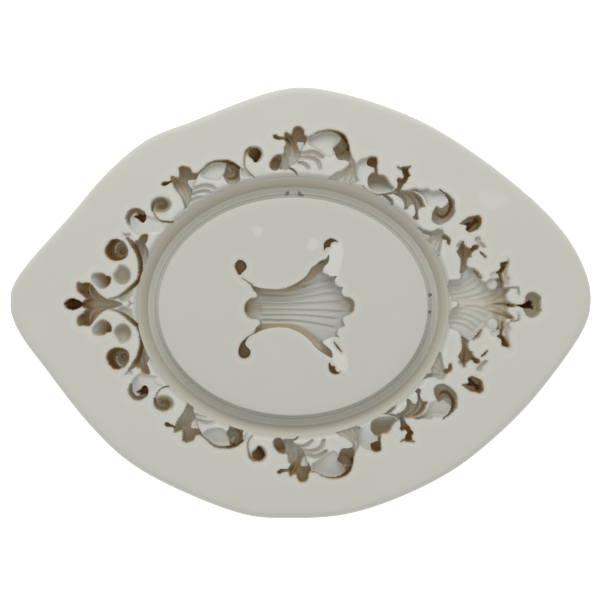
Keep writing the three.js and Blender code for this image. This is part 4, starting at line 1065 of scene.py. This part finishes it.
class MOULD_OT_slab(bpy.types.Operator):
    """Build the lens-shaped slab with the scrollwork sunk in its top face"""
    bl_idname = "mould.slab"
    bl_label = "Slab"

    def execute(self, context):
        shape = context.scene.mould_shape
        angles, radii = frame_outline()
        rim = shape.rim_radius / MM
        steps = shape.relief_rows
        # Each row of the grid: how it is placed, its share or inset, and its height.
        rows = [("core", 0, WEB), ("ledge", 0, WEB)]
        rows += [("top", SCROLL_SHARE * i / steps, TOP) for i in range(steps + 1)]
        rows += [("top", share, TOP) for share in LAND_SHARES]
        rows += [("rim", rim * (1 - math.sin(a)), TOP - rim * (1 - math.cos(a))) for a in RIM_ARC]
        rows += [("rim", rim * (1 - math.cos(a)), rim * (1 - math.sin(a))) for a in RIM_ARC]
        rows += [("rim", BASE_INSET, 0), ("core", 0, 0)]

        def place(turn, row):
            kind, measure, height = on_rows(rows, row)
            inner = ellipse(turn, CHANNEL_WIDTH - LEDGE_LAP)
            angle = np.arctan2(inner[1], inner[0])
            radius = np.interp(angle, angles, radii)

            def coordinate(inner, outer):
                edge = outer * (1 - rim / radius)
                return np.select([kind == "core", kind == "ledge", kind == "top"],
                                 [0, inner, inner + (edge - inner) * measure],
                                 outer * (1 - measure / radius))

            x = coordinate(inner[0], radius * np.cos(angle))
            y = coordinate(inner[1], radius * np.sin(angle))
            relief = Relief(x, y).draw(RELIEF)
            gap = np.hypot(x - inner[0], y - inner[1])
            cove = COVE_DEPTH * np.clip(1 - gap / COVE_WIDTH, 0, 1) ** COVE_POWER
            # painted shade down the cove and painted light at its top edge
            hue = np.where(cove > relief.depth, cove * COVE_HUE - COVE_LIGHTENING, relief.sunk)
            on_top = kind == "top"
            z = np.where(on_top, height - np.maximum(relief.depth, cove), height)
            return x, y, z, np.where(on_top, hue, 0)

        slab = wrapped_grid("mould_slab", shape.turns, len(rows) - 1, place)
        slab.data.materials.append(silicone("silicone_slab", context.scene.mould_finish))
        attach(slab, "root")
        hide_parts("back_web", "outer_surround", "shell_bed", "palmette_bed")
        return {"FINISHED"}


# ------------------------------------------------------------------ the ring channel

# Outward from the island's wall, and depth below the top face.
CHANNEL_PROFILE = [
    (-0.3, 6.4), (0.0, 6.2), (0.5, 6.1), (0.85, 6.05), (1.0, 5.85), (1.15, 5.95), (1.7, 5.8),
    (2.3, 5.6), (2.5, 5.7), (2.7, 5.2), (3.1, 4.2), (3.6, 3.2), (4.1, 2.2), (4.5, 1.6), (4.8, 1.2),
]
CHANNEL_INNER, CHANNEL_OUTER = -0.3, 4.9  # where its hidden sides stand
CHANNEL_STEPS = 3
CHANNEL_TURNS = 720
# Distances outward, and the colour depth at each, which gives painted shade and painted glow across the
# channel.
RING_HUES = ((0.3, 1.2, 2.6, 3.2, 4.8), (3.4, 3.8, 4.1, 4.6, 4.3))
CHANNEL_GLOW = 2.2  # strength of the painted glow that the channel gives off in place of the light that comes through it, against the slab's
# colour depth of a notch: a little painted shade and glow; its darkness comes mostly from its real depth
NOTCH_HUE = 3.0
NOTCH_DEPTH = 1.6
NOTCH_EDGE = 0.3  # share of a notch's depth from which it has its colour
RING_MARKS = [
    Hollow("left notch", [(-1.9, 25), (-1.5, 25.7), (-1.1, 26), (-1.1, 25.1)], Floor((1,)), wall=0.1),
    Hollow("right notch", [(1.2, 26), (1.2, 25), (2.3, 25), (1.6, 25.7)], Floor((1,)), wall=0.1),
    Hollow("upper end notch", [(30.6, 2.9), (31.4, 2.6), (30.6, 2.1)], Floor((1,)), wall=0.1),
    Hollow("lower end notch", [(30.6, -0.9), (31.3, -1.2), (30.6, -1.7)], Floor((1,)), wall=0.1),
]


class MOULD_OT_ring_channel(bpy.types.Operator):
    """Build the moulded channel that runs round the island"""
    bl_idname = "mould.ring_channel"
    bl_label = "Ring Channel"

    def execute(self, context):
        base = TOP - WEB
        loop = np.vstack([(CHANNEL_INNER, base), trace(CHANNEL_PROFILE, False, CHANNEL_STEPS),
                          (CHANNEL_OUTER, base), (CHANNEL_INNER, base)])

        def place(turn, row):
            gap, depth = loop[row, 0], loop[row, 1]
            x, y = ellipse(turn, gap)
            notch = Relief(x, y).draw(RING_MARKS, mirror=False).depth
            sunk = np.where(notch > NOTCH_EDGE, NOTCH_HUE, np.interp(gap, *RING_HUES))
            return x, y, TOP - depth - NOTCH_DEPTH * notch, sunk

        ring = wrapped_grid("ring_channel", CHANNEL_TURNS, len(loop) - 1, place)
        finish = context.scene.mould_finish
        ring.data.materials.append(silicone("silicone_channel", finish, glow=CHANNEL_GLOW))
        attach(ring, "root")
        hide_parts("ring_channel_bed")
        return {"FINISHED"}


# ------------------------------------------------------------------ the island

CREST_RADIUS = 18.8  # the crest lies inside this circle, which has close rows
CREST_ROWS = 120
ISLAND_LAND_SHARES = (0.3, 0.7)  # rows across the plain land outside it
ISLAND_ROUNDING = 0.35  # rounding of the island's rim
ISLAND_ARC = np.radians([0, 30, 60, 90])  # steps round it
ISLAND_WALL = [(0.1, 3), (0.2, 5.5), (0.3, 8)]  # outward, and depth below the top face
FOOT_OUT, FOOT_DEPTH = 0.2, 0.5  # the island's foot, outward and into the web
ISLAND_SHADE = 0.94  # painted shade: brightness of the island's colours against the slab's, though both are the same silicone


class MOULD_OT_island(bpy.types.Operator):
    """Build the flat oval island with the fluted crest sunk in it"""
    bl_idname = "mould.island"
    bl_label = "Island"

    def execute(self, context):
        rounding = ISLAND_ROUNDING
        foot = WEB - FOOT_DEPTH
        # Each row of the grid: how it is placed, its radius, share or distance out, and its height.
        rows = [("crest", CREST_RADIUS * i / CREST_ROWS, TOP) for i in range(CREST_ROWS + 1)]
        rows += [("land", share, TOP) for share in ISLAND_LAND_SHARES]
        rows += [("edge", -rounding * (1 - math.sin(a)), TOP - rounding * (1 - math.cos(a)))
                 for a in ISLAND_ARC]
        rows += [("edge", out, TOP - depth) for out, depth in ISLAND_WALL]
        rows += [("edge", FOOT_OUT, foot), ("crest", 0, foot)]

        def place(turn, row):
            kind, measure, height = on_rows(rows, row)
            angle = 2 * np.pi * turn
            top = ellipse(turn, -rounding)
            edge = ellipse(turn, np.where(kind == "edge", measure, 0))

            def coordinate(unit, top, edge):
                land = CREST_RADIUS * unit + (top - CREST_RADIUS * unit) * measure
                return np.select([kind == "crest", kind == "land"], [measure * unit, land], edge)

            x = coordinate(np.cos(angle), top[0], edge[0])
            y = coordinate(np.sin(angle), top[1], edge[1])
            relief = Relief(x, y).draw(CREST, mirror=False)
            on_top = (kind != "edge") & (height == TOP)
            z = np.where(on_top, height - relief.depth, height)
            # painted shade: the island's walls are painted darker the further down they go
            return x, y, z, np.where(on_top, relief.sunk, TOP - height)

        turns = context.scene.mould_shape.island_turns
        island = wrapped_grid("mould_island", turns, len(rows) - 1, place)
        finish = context.scene.mould_finish
        island.data.materials.append(silicone("silicone_island", finish, ISLAND_SHADE))
        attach(island, "root")
        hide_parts("centre_island", "crest_bed")
        return {"FINISHED"}


# ------------------------------------------------------------------ the stage

FLOOR_SIZE = 3
FLOOR_GAP = 0.2 * MM  # how far the floor lies under the slab
FLOOR_GLOW = 0.45  # brightens the floor, so that the slab's shadow hardly shows
FLOOR_ROUGHNESS = 0.9
FLOOR_COLOUR = (252, 252, 251)
AIM_X, AIM_Y = -0.14 * MM, 0.6 * MM  # where the camera looks, from the middle of the slab
SENSOR = 36  # width of the camera's sensor, in millimetres
SIGHT = 20  # how far the camera sees, in metres
SOFTBOX_PLACE = Vector((-0.05, 0.36, 0.42))  # from the camera's aim
SOFTBOX_SIZE = 0.35
WHITE = (1, 1, 1, 1)


def lamp(name, place, aim, size, power):
    """A square softbox turned to its aim."""
    data = bpy.data.lights.new(name, "AREA")
    data.shape = "SQUARE"
    data.size = size
    data.energy = power
    made = bpy.data.objects.new(name, data)
    made.location = place
    made.rotation_euler = (aim - made.location).to_track_quat("-Z", "Y").to_euler()
    bpy.context.scene.collection.objects.link(made)


class MOULD_OT_stage(bpy.types.Operator):
    """Set up the pale floor, the soft light and the camera straight above"""
    bl_idname = "mould.stage"
    bl_label = "Stage"

    def execute(self, context):
        stage = context.scene.mould_stage
        scene = context.scene
        bm = bmesh.new()
        bmesh.ops.create_grid(bm, x_segments=1, y_segments=1, size=FLOOR_SIZE)
        bmesh.ops.translate(bm, verts=bm.verts, vec=(0, 0, -FLOOR_GAP))
        mesh = bpy.data.meshes.new("floor")
        bm.to_mesh(mesh)
        bm.free()
        floor = bpy.data.objects.new("floor", mesh)
        scene.collection.objects.link(floor)
        paint = Finish("floor_paint", Roughness=FLOOR_ROUGHNESS, Base_Color=linear(*FLOOR_COLOUR),
                       Emission_Color=WHITE, Emission_Strength=FLOOR_GLOW)
        mesh.materials.append(paint.material)

        centre = (CAD_BOX[0] + CAD_BOX[1]) / 2
        top = CAD_BOX[1].z
        aim = Vector((centre.x + AIM_X, centre.y + AIM_Y, top))
        data = bpy.data.cameras.new("camera")
        data.sensor_width = SENSOR
        data.lens = SENSOR * stage.camera_height / stage.view_width
        data.clip_end = SIGHT
        camera = bpy.data.objects.new("camera", data)
        camera.location = (aim.x, aim.y, top + stage.camera_height)
        scene.collection.objects.link(camera)
        scene.camera = camera

        lamp("softbox", aim + SOFTBOX_PLACE, aim, SOFTBOX_SIZE, stage.key_power)
        world = bpy.data.worlds.new("studio")
        world.use_nodes = True
        background = world.node_tree.nodes["Background"]
        background.inputs["Color"].default_value = WHITE
        background.inputs["Strength"].default_value = stage.sky
        scene.world = world
        scene.view_settings.view_transform = "Standard"
        return {"FINISHED"}


# ------------------------------------------------------------------ the panel and the run


class MOULD_PT_panel(bpy.types.Panel):
    """Lists the mould's builders and their settings"""
    bl_idname = "MOULD_PT_panel"
    bl_label = "Casting Mould"
    bl_space_type = "VIEW_3D"
    bl_region_type = "UI"
    bl_category = "Mould"

    def draw(self, context):
        for settings in (context.scene.mould_shape, context.scene.mould_finish,
                         context.scene.mould_stage):
            for name in settings.__annotations__:
                self.layout.prop(settings, name)
        for operator in BUILD_ORDER:
            self.layout.operator(operator.bl_idname)


BUILD_ORDER = (MOULD_OT_slab, MOULD_OT_ring_channel, MOULD_OT_island, MOULD_OT_stage)
CLASSES = (MouldShapeSettings, MouldFinishSettings, MouldStageSettings, *BUILD_ORDER, MOULD_PT_panel)


def register():
    for cls in CLASSES:
        bpy.utils.register_class(cls)
    bpy.types.Scene.mould_shape = bpy.props.PointerProperty(type=MouldShapeSettings)
    bpy.types.Scene.mould_finish = bpy.props.PointerProperty(type=MouldFinishSettings)
    bpy.types.Scene.mould_stage = bpy.props.PointerProperty(type=MouldStageSettings)


def unregister():
    del bpy.types.Scene.mould_stage
    del bpy.types.Scene.mould_finish
    del bpy.types.Scene.mould_shape
    for cls in reversed(CLASSES):
        bpy.utils.unregister_class(cls)


def main():
    register()
    bpy.ops.mould.slab()
    bpy.ops.mould.ring_channel()
    bpy.ops.mould.island()
    bpy.ops.mould.stage()


if __name__ == "__main__":
    main()
